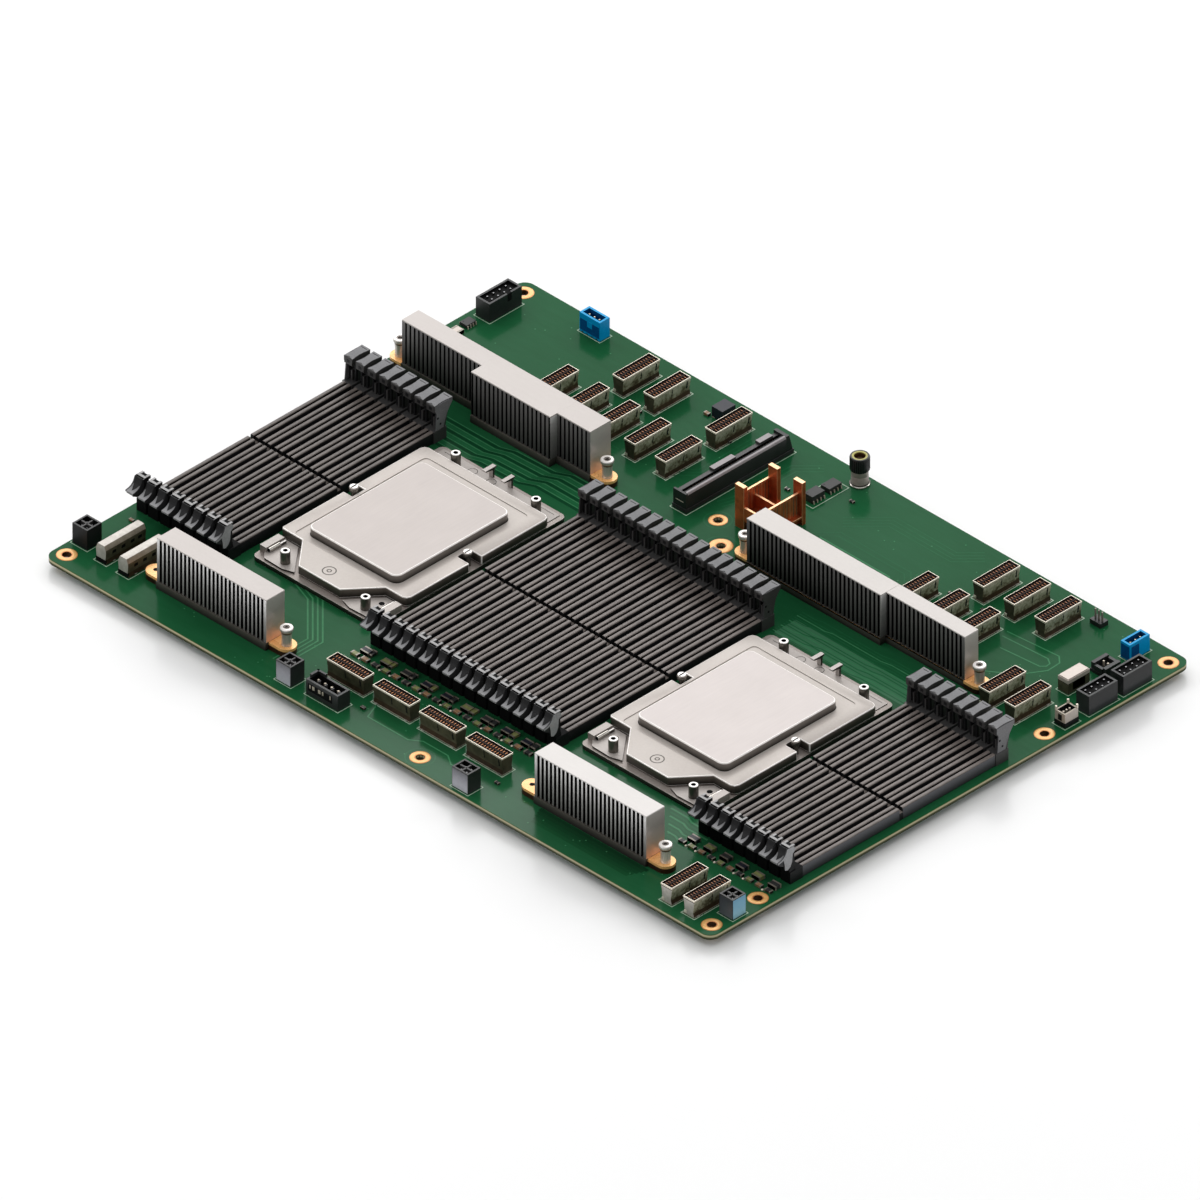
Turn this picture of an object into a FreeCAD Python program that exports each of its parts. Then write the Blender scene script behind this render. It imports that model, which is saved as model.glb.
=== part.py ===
import FreeCAD, Part
import math
import os

os.makedirs("parts", exist_ok=True)
V = FreeCAD.Vector

# All lengths in millimetres. The board lies flat, +Z up, its long side along X.

# Sides of small round pieces
facets = 10

# Heights of the stack, from the underside of the backplates
backplate_t = 3.2
board_t = 2.8
board_under = backplate_t
board_top = board_under + board_t

# Memory sockets
socket_pitch = 7.62
socket_w = 6.2
socket_len = 141.5
socket_h = 6.5
ridge_w = 5.2
card_slot_w = 1.1
card_slot_floor = 2.2
key_w = 2.0
key_depth = 2.0
key_offset = 1.65
latch_h = 20.5
front_latch_t = 2.4
rear_latch_t = 3.4
side_count = 8
centre_count = 16

# Layout of the board, left to right and front to rear
bank_gap = 5.8
seat_w = 68.0
seat_margin = 6.25
base_w = seat_w + 2 * seat_margin
edge_margin = 4.11
front_zone = 56.0
rear_zone = 114.5
centre_half = ((centre_count - 1) * socket_pitch + socket_w) / 2
side_half = ((side_count - 1) * socket_pitch + socket_w) / 2
cpu_x = centre_half + bank_gap + base_w / 2
side_bank_x = cpu_x + base_w / 2 + bank_gap + side_half
board_x = 2 * (side_bank_x + side_half + edge_margin)
board_y = front_zone + socket_len + rear_zone
right = board_x / 2
left = -right
rear = board_y / 2
front = -rear
bank_front = front + front_zone
bank_rear = bank_front + socket_len
bank_mid = (bank_front + bank_rear) / 2
board_corner_r = 5.5
hole_r = 2.3
hole_inset_x = 7.0
hole_inset_y = 8.0

# Processor sockets and their load frames
cpu_y = bank_mid + 0.55
base_t = 2.4
rolled_clip_inset = 2.85
seat_len = 84.0
seat_h = 3.0
frame_w = base_w + 0.9
frame_len = 93.0
frame_y = bank_mid + 4.65
frame_top = 8.0
tongue_len = 16.0
tongue_root = 27.0
tongue_tip = 13.5
lid_w = 58.0
lid_len = 74.5
lid_y = bank_mid + 0.4
lid_top = 12.0
lid_r = 4.0
lid_gap = 0.3
post_x = 26.0
post_shift_x = 1.9
post_span_y = frame_len + 17.5
base_len = post_span_y + 13.3
post_y = bank_mid - 0.5
post_r = 2.4
post_top = 10.2
pin_y = bank_mid + 2.75
pin_r = 2.2
pin_neck_r = 1.45
pin_left_gap = 2.75
pin_right_gap = 0.05
pin_left_x = -seat_w / 2 - pin_neck_r - pin_left_gap
pin_right_x = seat_w / 2 + pin_neck_r + pin_right_gap
pin_neck_top = 7.4
pin_top = 10.2
notch_half = 4.0
backplate_w = base_w - 4.5
backplate_len = base_len - 5.8

# Heat sinks
sink_top = 28.0
sink_base_t = 4.0
sink_roof = 0.7
sink_end = 1.3
front_fin_pitch = 2.6
rear_fin_pitch = 2.75
fin_share = 0.5
tab_r = 4.8
lip = 0.6
screw_neck_top = 10.0
screw_top = 13.6
screw_head_r = 3.4
screw_neck_r = 2.1

# Slim shielded sockets
slim_h = 9.6
slim_len = 24.0
slim_foot = 3.4
slim_waist = 2.8
slim_rim = 3.65
slim_wall = 0.75
slim_recess = 1.2

# Headers
shroud_wall = 1.2
shroud_floor = 3.0
small_header_h = 11.0
long_header_h = 10.6

# Copper clip
clip_top = 23.5
clip_wall_top = 17.0
clip_web_top = 12.5
clip_deck = 3.8
clip_sheet = 1.2
clip_post_w = 5.8
clip_post_t = 2.4
clip_ledge = 2.4

# Capped standoff
standoff_foot_r = 4.9
standoff_body_r = 4.1
standoff_cap_r = 4.8
standoff_cap_bottom = 8.6
standoff_top = 16.0
standoff_bore_r = 2.6


def block(x0, x1, y0, y1, z0, z1):
    return Part.makeBox(x1 - x0, y1 - y0, z1 - z0, V(x0, y0, board_top + z0))


def around(x, y, wx, wy, z0, z1):
    return block(x - wx / 2, x + wx / 2, y - wy / 2, y + wy / 2, z0, z1)


def prism(points, sweep):
    return Part.Face(Part.makePolygon(points + points[:1])).extrude(sweep)


def plan(points, z0, z1):
    return prism([V(x, y, board_top + z0) for x, y in points], V(0, 0, z1 - z0))


def along_x(points, x0, x1):
    return prism([V(x0, y, board_top + z) for y, z in points], V(x1 - x0, 0, 0))


def along_y(points, y0, y1):
    return prism([V(x, y0, board_top + z) for x, z in points], V(0, y1 - y0, 0))


def rod(x, y, r, z0, z1):
    return Part.makeCylinder(r, z1 - z0, V(x, y, board_top + z0))


def arc(x, y, r, start, turn, count):
    angles = [math.radians(start + turn * i / count) for i in range(count + 1)]
    return [(x + r * math.cos(a), y + r * math.sin(a)) for a in angles]


def soft_rect(x, y, wx, wy, r):
    dx = wx / 2 - r
    dy = wy / 2 - r
    corners = [(x + dx, y + dy, 0), (x - dx, y + dy, 90), (x - dx, y - dy, 180), (x + dx, y - dy, 270)]
    return [point for cx, cy, start in corners for point in arc(cx, cy, r, start, 90, 3)]


def drum(x, y, r0, r1, z0, z1):
    lower = [V(a, b, board_top + z0) for a, b in arc(x, y, r0, 0, 360, facets)]
    upper = [V(a, b, board_top + z1) for a, b in arc(x, y, r1, 0, 360, facets)]
    rings = [lower[:-1] + lower[:1], upper[:-1] + upper[:1]]
    for i in range(facets):
        rings.append([rings[0][i], rings[0][i + 1], rings[1][i + 1], rings[1][i], rings[0][i]])
    shell = Part.Shell([Part.Face(Part.makePolygon(ring)) for ring in rings])
    shell.sewShape()
    return Part.Solid(shell)


def joined(solids):
    return solids[0].multiFuse(solids[1:]).removeSplitter()


def write(name, solids):
    shape = solids[0] if len(solids) == 1 else Part.makeCompound(solids)
    shape.exportStep("parts/" + name + ".step")


# Circuit board with its mounting holes
def circuit_board():
    slab = block(left, right, front, rear, -board_t, 0)
    upright = [e for e in slab.Edges if abs(e.tangentAt(e.FirstParameter).z) > 0.99]
    slab = slab.makeFillet(board_corner_r, upright)
    hole_x = right - hole_inset_x
    hole_y = rear - hole_inset_y
    holes = [(sx * hole_x, sy * hole_y) for sx in (-1, 1) for sy in (-1, 1)]
    holes += [(hole_x, front + 38.0), (hole_x, bank_rear + 26.2)]
    spare = [(20.0, -hole_y), (-17.5, bank_rear + 41.1), (-2.0, bank_rear + 27.4)]
    tools = [rod(x, y, hole_r, -board_t, 0) for x, y in holes]
    return slab.cut(tools + [drum(x, y, hole_r, hole_r, -board_t, 0) for x, y in spare])


# Memory socket: slotted housing, end towers and the two latches
def memory_socket(x):
    half = ridge_w / 2
    slot = card_slot_w / 2
    section = [(-half, 0), (half, 0), (half, socket_h), (slot, socket_h), (slot, card_slot_floor)]
    section += [(-slot, card_slot_floor), (-slot, socket_h), (-half, socket_h)]
    housing = along_y([(x + a, z) for a, z in section], bank_front + front_latch_t, bank_rear - rear_latch_t)
    key_y = bank_mid + key_offset
    key = around(x, key_y, ridge_w + 1, key_w, socket_h - key_depth, socket_h + 1)
    paddle = [(0, 0), (0, 9.5), (7.3, 13.6), (7.7, 15.2), (3.0, 16.6), (1.4, latch_h)]
    paddle += [(-front_latch_t, latch_h), (-front_latch_t, 0)]
    pad = [(0, 0), (0, 8.0), (4.5, 18.6), (4.5, latch_h), (-7.5, latch_h), (-7.5, 16.2)]
    pad += [(-rear_latch_t, 15.5), (-rear_latch_t, 0)]
    front_end = along_x([(bank_front - o, z) for o, z in paddle], x - socket_w / 2, x + socket_w / 2)
    rear_end = along_x([(bank_rear + o, z) for o, z in pad], x - socket_w / 2, x + socket_w / 2)
    return joined([housing.cut(key), front_end, rear_end])


# Processor socket: metal base with rolled clips in front, spring clips at the rear, and the seat
def cpu_socket(x):
    base = plan(soft_rect(x, cpu_y, base_w, base_len, 3.0), 0, base_t)
    seat = around(x, lid_y, seat_w, seat_len, base_t, seat_h)
    clip_front = cpu_y - base_len / 2
    spring_y = cpu_y + base_len / 2 - 1.5
    clip_x = base_w / 2 - rolled_clip_inset
    clips = [around(x + s * clip_x, clip_front + 11.0, 5.4, 12.0, base_t, 6.0) for s in (-1, 1)]
    spring = [(-1.2, base_t), (0.2, base_t), (0.2, 7.0), (1.4, 7.6), (1.4, 8.6)]
    spring += [(-5.6, 8.6), (-5.6, 7.6), (-1.2, 7.0)]
    side = [(spring_y + o, z) for o, z in spring]
    springs = [along_x(side, x + c - 1.2, x + c + 1.2) for c in (-6.4, 5.6)]
    return joined([base, seat] + clips + springs)


# Load frame: plate with a front tongue and side notches, open round the processor
def load_frame(x):
    half = frame_w / 2
    near = frame_y - frame_len / 2
    far = frame_y + frame_len / 2
    tip = near - tongue_len
    left_notch = pin_left_x + 3.0
    right_notch = pin_right_x - 3.0
    notch_near = pin_y - notch_half
    notch_far = pin_y + notch_half
    outline = [(-half, near), (-tongue_root, near), (-tongue_tip, tip)]
    outline += [(tongue_tip, tip), (tongue_root, near), (half - 3, near), (half, near + 3)]
    outline += [(half, notch_near), (right_notch, notch_near), (right_notch, notch_far), (half, notch_far)]
    outline += [(half, far - 3), (half - 3, far), (-half + 3, far), (-half, far - 3)]
    outline += [(-half, notch_far), (left_notch, notch_far), (left_notch, notch_near), (-half, notch_near)]
    plate = plan([(x + a, y) for a, y in outline], seat_h, frame_top)
    window = soft_rect(x, lid_y, lid_w + 2 * lid_gap, lid_len + 2 * lid_gap, lid_r + lid_gap)
    return plate.cut(plan(window, seat_h, frame_top))


# Processor: lid standing above its load frame
def processor(x):
    return plan(soft_rect(x, lid_y, lid_w, lid_len, lid_r), seat_h, lid_top)


# Cooler posts at the four corners of a processor socket
def cooler_posts(x):
    posts = []
    for sx in (-1, 1):
        for sy in (-1, 1):
            px = x + post_shift_x + sx * post_x
            py = post_y + sy * post_span_y / 2
            posts.append(drum(px, py, post_r, post_r, base_t, post_top))
    return posts


# Flared pins in the side notches of a load frame
def frame_pins(x):
    pins = []
    for px in (x + pin_left_x, x + pin_right_x):
        stem = drum(px, pin_y, pin_neck_r, pin_neck_r, base_t, pin_neck_top)
        pins.append(joined([stem, drum(px, pin_y, pin_neck_r, pin_r, pin_neck_top, pin_top)]))
    return pins


def backplate(x):
    return plan(soft_rect(x, cpu_y, backplate_w, backplate_len, 6.0), -board_t - backplate_t, -board_t)


# Heat sink: fins hanging from a thin roof between two end walls, stepped in plan along its front
def heat_sink(x0, x1, steps, y1, pitch):
    count = int((x1 - x0 - 2 * sink_end) / pitch)
    step = (x1 - x0 - 2 * sink_end) / count
    slot = step * (1 - fin_share)
    comb = [(x0, sink_top), (x0, sink_base_t)]
    for i in range(count):
        a = x0 + sink_end + i * step + (step - slot) / 2
        comb += [(a, sink_base_t), (a, sink_top - sink_roof)]
        comb += [(a + slot, sink_top - sink_roof), (a + slot, sink_base_t)]
    comb += [(x1, sink_base_t), (x1, sink_top)]
    y0 = min(y for a, b, y in steps)
    fins = along_y(comb, y0, y1)
    set_back = [block(a, b, y0, y, sink_base_t, sink_top) for a, b, y in steps if y > y0]
    return fins.cut(set_back) if set_back else fins


# Copper base of a heat sink with a rounded tab for a screw at both ends
def sink_base(x0, x1, steps, y1, screws):
    slabs = [block(a, b, y - lip, y1, 0, sink_base_t) for a, b, y in steps]
    for sx, sy in screws:
        start = -90 if sx > x1 else 90
        root = x1 if sx > x1 else x0
        tip = arc(sx, sy, tab_r, start, 180, 6)
        slabs.append(plan([(root, tip[0][1])] + tip + [(root, tip[-1][1])], 0, sink_base_t))
    return joined(slabs)


def sink_screw(x, y):
    neck = drum(x, y, screw_neck_r, screw_neck_r, sink_base_t, screw_neck_top)
    return joined([neck, drum(x, y, screw_neck_r, screw_head_r, screw_neck_top, screw_top)])


# Slim shielded socket with a waisted shell and a recessed contact field
def slim_socket(x, y, lengthwise_y):
    half = slim_len / 2
    section = [(-slim_foot, 0), (slim_foot, 0), (slim_waist, 2.4), (slim_rim, 7.8), (slim_rim, slim_h)]
    section += [(-slim_rim, slim_h), (-slim_rim, 7.8), (-slim_waist, 2.4)]
    across = 2 * (slim_rim - slim_wall)
    along = slim_len - 2 * slim_wall
    floor = slim_h - slim_recess
    if lengthwise_y:
        shell = along_y([(x + a, z) for a, z in section], y - half, y + half)
        return shell.cut(around(x, y, across, along, floor, slim_h))
    shell = along_x([(y + a, z) for a, z in section], x - half, x + half)
    return shell.cut(around(x, y, along, across, floor, slim_h))


# Socket shell with a closed, slightly narrower top
def closed_shell(x, y, length, h):
    section = [(-3.4, 0), (3.4, 0), (2.9, 2.4), (3.3, 7.0), (2.1, h), (-2.1, h), (-3.3, 7.0), (-2.9, 2.4)]
    return along_y([(x + a, z) for a, z in section], y - length / 2, y + length / 2)


# Header: open shroud with a deep floor
def shroud(x, y, wx, wy, h):
    body = around(x, y, wx, wy, 0, h)
    return body.cut(around(x, y, wx - 2 * shroud_wall, wy - 2 * shroud_wall, shroud_floor, h))


# Expansion slot: long housing with a card slot, on a wider foot, its front end cut back
def expansion_slot(x, y0, y1):
    foot = around(x, (y0 + y1) / 2, 9.2, y1 - y0, 0, 2.2)
    side = [(y0 + 0.3, 2.2), (y0 + 0.3, 10.7), (y1 - 2.6, 10.7), (y1 - 0.4, 2.2)]
    body = along_x(side, x - 4.2, x + 4.2)
    card = block(x - 0.9, x + 0.9, y0 + 6, y1 - 4, 3.0, 10.7)
    return joined([foot, body]).cut(card)


# Copper clip: three flat posts, two side walls, a front wall, a cross web and a raised floor
def copper_clip(x0, x1, y0, y1):
    t = clip_sheet
    corners = [(x0, y0), (x0, y1 - clip_post_t), (x1 - clip_post_w, y1 - clip_post_t)]
    posts = [block(px, px + clip_post_w, py, py + clip_post_t, 0, clip_top) for px, py in corners]
    right_wall = x1 - clip_ledge - t
    walls = [block(px, px + t, y0, y1, 0, clip_wall_top) for px in (x0, right_wall)]
    front_wall = block(x0, right_wall + t, y0, y0 + t, clip_deck, clip_web_top)
    mid = (y0 + y1) / 2
    web = block(x0, right_wall + t, mid - t / 2, mid + t / 2, clip_deck, clip_web_top)
    deck = block(x0, x1, y0, y1, clip_deck, clip_deck + t)
    return joined(posts + walls + [front_wall, web, deck])


def capped_standoff(x, y):
    foot = drum(x, y, standoff_foot_r, standoff_foot_r, 0, 1.2)
    body = drum(x, y, standoff_body_r, standoff_body_r, 1.2, standoff_cap_bottom)
    cap = drum(x, y, standoff_cap_r, standoff_cap_r, standoff_cap_bottom, standoff_top)
    return joined([foot, body, cap]).cut(drum(x, y, standoff_bore_r, standoff_bore_r, 12.0, standoff_top))


write("circuit_board", [circuit_board()])

for i in range(side_count):
    offset = (i - (side_count - 1) / 2) * socket_pitch
    write("memory_socket_left_%d" % (i + 1), [memory_socket(-side_bank_x + offset)])
    write("memory_socket_right_%d" % (i + 1), [memory_socket(side_bank_x + offset)])
for i in range(centre_count):
    offset = (i - (centre_count - 1) / 2) * socket_pitch
    write("memory_socket_centre_%d" % (i + 1), [memory_socket(offset)])

posts = []
pins = []
for side, x in (("left", -cpu_x), ("right", cpu_x)):
    write("cpu_socket_" + side, [cpu_socket(x)])
    write("load_frame_" + side, [load_frame(x)])
    write("processor_" + side, [processor(x)])
    write("backplate_" + side, [backplate(x)])
    posts += cooler_posts(x)
    pins += frame_pins(x)
write("cooler_posts", posts)
write("frame_pins", pins)

# Heat sinks: name, span in X, front steps in plan, back, fin pitch and the two tabs
fl0 = -cpu_x - 54.9
fl1 = -cpu_x + 16.1
fr0 = cpu_x - 23.7
fr1 = cpu_x + 48.8
rl0 = left + 11.0
rl1 = -cpu_x + 25.9
rr0 = cpu_x - 87.4
rr1 = cpu_x + 50.6
front_y = front + 18.5
rl_y = bank_rear + 34.5
rr_y = bank_rear + 35.5
rl_steps = [(rl0, rl0 + 51.8, bank_rear + 23.7), (rl0 + 51.8, rl1 - 21.5, bank_rear + 16.7)]
rl_steps += [(rl1 - 21.5, rl1, bank_rear + 21.2)]
rr_steps = [(rr0, rr0 + 87.0, bank_rear + 23.2), (rr0 + 87.0, rr1, bank_rear + 26.7)]
fl_screws = [(fl1 + 7.0, front_y + 6.2), (fl0 - 6.5, front_y + 6.0)]
fr_screws = [(fr1 + 7.0, front_y + 6.5), (fr0 - 7.0, front_y + 6.5)]
rl_screws = [(rl0 - 5.0, bank_rear + 27.5), (rl1 + 6.2, bank_rear + 26.0)]
rr_screws = [(rr0 - 6.3, bank_rear + 28.5), (rr1 + 5.7, bank_rear + 30.5)]
sinks = [("front_left", fl0, fl1, [(fl0, fl1, front_y)], front_y + 12.0, front_fin_pitch, fl_screws)]
sinks += [("front_right", fr0, fr1, [(fr0, fr1, front_y + 1)], front_y + 13.0, front_fin_pitch, fr_screws)]
sinks += [("rear_left", rl0, rl1, rl_steps, rl_y, rear_fin_pitch, rl_screws)]
sinks += [("rear_right", rr0, rr1, rr_steps, rr_y, rear_fin_pitch, rr_screws)]
bases = []
screws = []
for name, x0, x1, steps, y1, pitch, spots in sinks:
    write("heat_sink_" + name, [heat_sink(x0, x1, steps, y1, pitch)])
    bases.append(sink_base(x0, x1, steps, y1, spots))
    used = spots[:1] if name.startswith("front") else spots
    screws += [sink_screw(sx, sy) for sx, sy in used]
write("sink_bases", bases)
write("sink_screws", screws)

# Slim shielded sockets
row_near = bank_rear + 59.2
row_far = rear - 22.8
left_column = [-cpu_x - 34.8 + 20.0 * i for i in range(5)]
right_column = [cpu_x - 13.9 + 20.0 * i for i in range(4)]
rear_left = [slim_socket(x, row_near, True) for x in left_column]
rear_left += [slim_socket(left_column[i], row_far, True) for i in (1, 2, 4)]
rear_right = [slim_socket(x, row_near, True) for x in right_column[:3]]
rear_right += [slim_socket(x, row_far, True) for x in right_column[1:]]
rear_right += [slim_socket(right - inset, bank_rear + 34.0, True) for inset in (42.1, 25.6)]
front_row = [slim_socket(-44.8 + 30.0 * i, front + 27.6, False) for i in range(4)]
front_row += [slim_socket(right - inset, front + 17.6, True) for inset in (34.1, 19.6)]
write("slim_sockets_rear_left", rear_left)
write("slim_sockets_rear_right", rear_right)
write("slim_sockets_front", front_row)

shells = [closed_shell(left + 22.4, front + 27.7, 26.0, 10.0)]
shells += [closed_shell(left + 37.0, front + 27.0, 25.0, 10.0)]
shells += [around(right - 24.6, bank_rear + 62.8, 6.7, 14.0, 0, 8.2)]
shells += [around(right - 6.5, bank_rear + 40.0, 7.0, 9.0, 0, 9.5)]
write("shielded_sockets", shells)

# Power headers of two by two and two by four, and the slimmer wafer headers
headers = [shroud(left + 6.5, front + 21.6, 9.6, 9.6, small_header_h)]
headers += [shroud(-66.2, front + 10.0, 9.6, 9.0, small_header_h)]
headers += [shroud(51.5, front + 6.5, 10.4, 8.4, small_header_h)]
headers += [shroud(right - 6.9, front + 21.4, 8.8, 8.6, small_header_h)]
headers += [shroud(left + 8.5, rear - 25.5, 9.0, 21.0, long_header_h - 0.4)]
headers += [shroud(right - 6.8, rear - inset, 8.4, 18.6, long_header_h) for inset in (54.5, 32.2)]
write("power_headers", headers)
wafers = [shroud(-42.7, front + 11.0, 20.6, 8.0, 10.0)]
wafers += [shroud(left + 52.9, rear - 7.8, 13.2, 6.5, 10.4)]
wafers += [shroud(right - 23.0, rear - 13.5, 6.0, 13.0, 9.0)]
write("wafer_headers", wafers)

write("expansion_slot", [expansion_slot(-35.7, bank_rear + 34.0, rear - 10.5)])
write("copper_clip", [copper_clip(-9.0, 13.0, bank_rear + 43.5, bank_rear + 67.5)])
write("capped_standoff", [capped_standoff(8.0, rear - 7.0)])

# Chips, passives and the small pin header
chips = [around(1.5, rear - 19.0, 7.0, 8.0, 0, 3.0), around(1.5, rear - 30.0, 7.0, 8.0, 0, 4.0)]
chips += [around(-74.5, rear - 12.8, 7.0, 8.5, 0, 6.0)]
chips += [around(right - 23.0, bank_rear + 82.0, 10.0, 11.0, 0, 5.0)]
chips += [around(left + 7.0, rear - 44.0, 6.0, 6.0, 0, 2.0)]
chips += [around(left + 8.0, rear - 52.0, 5.0, 4.0, 0, 2.0)]
chips += [around(-56.0 + 13.0 * i, bank_front - 6.5, 5.0, 4.0, 0, 2.0) for i in range(9)]
chips += [around(side_bank_x - 26.0 + 10.4 * i, bank_front - 6.5, 5.0, 4.0, 0, 2.0) for i in range(6)]
chips += [around(right - 51.5, rear - 8.5, 7.0, 5.0, 0, 2.5)]
chips += [around(right - 51.5 + px, rear - 8.5, 0.8, 0.8, 2.5, 9.0) for px in (-2.2, 0, 2.2)]
write("board_chips", chips)
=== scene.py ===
import random
from math import cos, pi, radians, sin

import bmesh
import bpy
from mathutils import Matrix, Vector


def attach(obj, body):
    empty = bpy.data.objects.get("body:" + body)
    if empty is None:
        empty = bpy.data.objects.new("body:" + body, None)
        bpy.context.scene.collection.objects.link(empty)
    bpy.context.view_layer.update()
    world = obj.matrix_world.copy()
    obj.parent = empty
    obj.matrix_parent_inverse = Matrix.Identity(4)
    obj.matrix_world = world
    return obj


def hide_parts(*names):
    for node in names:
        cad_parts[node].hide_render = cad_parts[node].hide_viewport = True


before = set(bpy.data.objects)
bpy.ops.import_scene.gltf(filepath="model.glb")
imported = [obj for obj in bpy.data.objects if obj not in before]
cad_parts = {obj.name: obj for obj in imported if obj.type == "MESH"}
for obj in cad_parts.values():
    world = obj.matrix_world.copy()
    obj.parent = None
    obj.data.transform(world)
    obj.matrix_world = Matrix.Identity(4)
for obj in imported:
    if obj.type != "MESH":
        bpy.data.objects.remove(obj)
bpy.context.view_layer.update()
scene = bpy.context.scene

# Driving sizes and places in millimetres
MM = 0.001
UNDER, TOP = 3.2, 6
LEFT, RIGHT, FRONT, REAR = -216, 216, -156, 156
BANK_FRONT, BANK_REAR = -100, 41.5
BANK_MID = (BANK_FRONT + BANK_REAR) / 2
PITCH = 7.62
SIDE_X = 182.12
BANKS = (("left", -SIDE_X, 8), ("centre", 0, 16), ("right", SIDE_X, 8))
SOCKET_H, LATCH_H = 6.5, 20.2
CPU_X = 106.3
CPUS = (("left", -CPU_X), ("right", CPU_X))
LID_Y = BANK_MID + 0.4
BASE_Y, BASE_W, BASE_L = BANK_MID + 0.55, 80.5, 123.8
FRAME_HALF, FRAME_NEAR, FRAME_FAR = 40.7, BANK_MID + 4.65 - 46.5, BANK_MID + 4.65 + 46.5
PIN_Y = BANK_MID + 2.75
POSTS = [(1.9 + sx * 26, BANK_MID - 0.5 + sy * 55.25) for sx in (-1, 1) for sy in (-1, 1)]
SINK_BASE_H, FIN_H, SINK_H = 4, 27.4, 28
SLIM_W, SLIM_L = 7.3, 24
rng = random.Random(7)


# Materials
NOISE_ROUGHNESS = 0.55
BUMP_DEPTH = 0.2 * MM
# Painted sheen: the mask's specular level is raised round SHEEN_AT, near the front edge, to paint in a soft
# reflection
SHEEN_AT, SHEEN_REACH = (70 * MM, -150 * MM, TOP * MM), 160 * MM
SHEEN_NEAR, SHEEN_FAR = 0.138, 0.036


def linear(code):
    """Linear colour from a hex code."""
    shares = [c / 255 for c in bytes.fromhex(code)]
    return (*[c / 12.92 if c <= 0.04045 else ((c + 0.055) / 1.055) ** 2.4 for c in shares], 1)


class Nodes:
    """A material's node tree, with short calls for the nodes that it needs."""

    def __init__(self, name):
        self.material = bpy.data.materials.new(name)
        self.material.use_nodes = True
        self.tree = self.material.node_tree
        self.shader = self.tree.nodes["Principled BSDF"]
        self.where = self.node("TexCoord", "Object", {})

    def feed(self, socket, value):
        """Links another node's output to the socket, or sets a constant on it."""
        if isinstance(value, bpy.types.NodeSocket):
            self.tree.links.new(value, socket)
        else:
            socket.default_value = value

    def node(self, kind, output, inputs, **settings):
        """Adds a node, its settings first because they decide which inputs it has."""
        node = self.tree.nodes.new("ShaderNode" + kind)
        for key, value in settings.items():
            setattr(node, key, value)
        for key, value in inputs.items():
            self.feed(node.inputs[key], value)
        return node.outputs[output]

    def shade(self, **values):
        for key, value in values.items():
            self.feed(self.shader.inputs[key.replace("_", " ")], value)

    def math(self, operation, *values):
        return self.node("Math", 0, dict(enumerate(values)), operation=operation)

    def mapped(self, scale):
        return self.node("Mapping", "Vector", {"Vector": self.where, "Scale": scale})

    def noise(self, scale, detail, vector=None):
        inputs = {"Vector": vector or self.where, "Scale": scale, "Detail": detail}
        return self.node("TexNoise", "Fac", {**inputs, "Roughness": NOISE_ROUGHNESS})

    def span(self, value, low, high, start=0, end=1):
        """Takes a value that runs from start to end to the range from low to high."""
        inputs = {"Value": value, "From Min": start, "From Max": end, "To Min": low, "To Max": high}
        return self.node("MapRange", "Result", inputs)

    def height(self, start, end, low=0, high=1):
        """Runs from low to high between two heights in millimetres."""
        rise = self.node("SeparateXYZ", "Z", {0: self.where})
        return self.span(rise, low, high, start * MM, end * MM)

    def ramp(self, value, stops):
        node = self.tree.nodes.new("ShaderNodeValToRGB")
        elements = node.color_ramp.elements
        while len(elements) < len(stops):
            elements.new(0.5)
        for element, (place, colour) in zip(elements, stops):
            element.position = place
            element.color = colour
        self.feed(node.inputs["Fac"], value)
        return node.outputs["Color"]

    def bump(self, height, strength):
        inputs = {"Height": height, "Strength": strength, "Distance": BUMP_DEPTH}
        self.shade(Normal=self.node("Bump", "Normal", inputs))

    def sheen(self):
        """Painted sheen: the solder mask's specular level, raised near the front edge to paint in a soft
        reflection.
        """
        away = self.node("VectorMath", "Value", {0: self.where, 1: SHEEN_AT}, operation="DISTANCE")
        return self.span(away, SHEEN_NEAR, SHEEN_FAR, 0, SHEEN_REACH)


def surface(name, tones, metallic, rough, grain, specular=0.5, bump=0, stretch=None):
    """Surface of a light and a dark tone with fine grain, which stretch draws out along one direction.

    With specular None it takes the solder mask's painted sheen.
    """
    light, dark = tones
    nodes = Nodes(name)
    fine = nodes.noise(grain, 4, nodes.mapped(stretch) if stretch else None)
    broad = nodes.noise(grain * 0.06, 2)
    tone = nodes.math("MULTIPLY_ADD", fine, 0.55, nodes.span(broad, 0, 0.45))
    nodes.shade(Base_Color=nodes.ramp(tone, [(0.3, dark), (0.7, light)]), Metallic=metallic,
                Roughness=nodes.span(fine, rough - 0.06, rough + 0.08),
                Specular_IOR_Level=nodes.sheen() if specular is None else specular)
    if bump:
        nodes.bump(fine, bump)
    return nodes.material


def graded(name, stops, low, high, metallic, rough, grain, specular=0.5):
    """Surface whose tone runs through the stops between two heights above the board: painted shade and light
    that change with height.
    """
    nodes = Nodes(name)
    fine = nodes.noise(grain, 4)
    tone = nodes.math("ADD", nodes.height(TOP + low, TOP + high), nodes.span(fine, -0.12, 0.12))
    places = [(k / (len(stops) - 1), stop) for k, stop in enumerate(stops)]
    nodes.shade(Base_Color=nodes.ramp(tone, places), Metallic=metallic, Specular_IOR_Level=specular,
                Roughness=nodes.span(fine, rough - 0.05, rough + 0.07))
    return nodes.material


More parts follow.
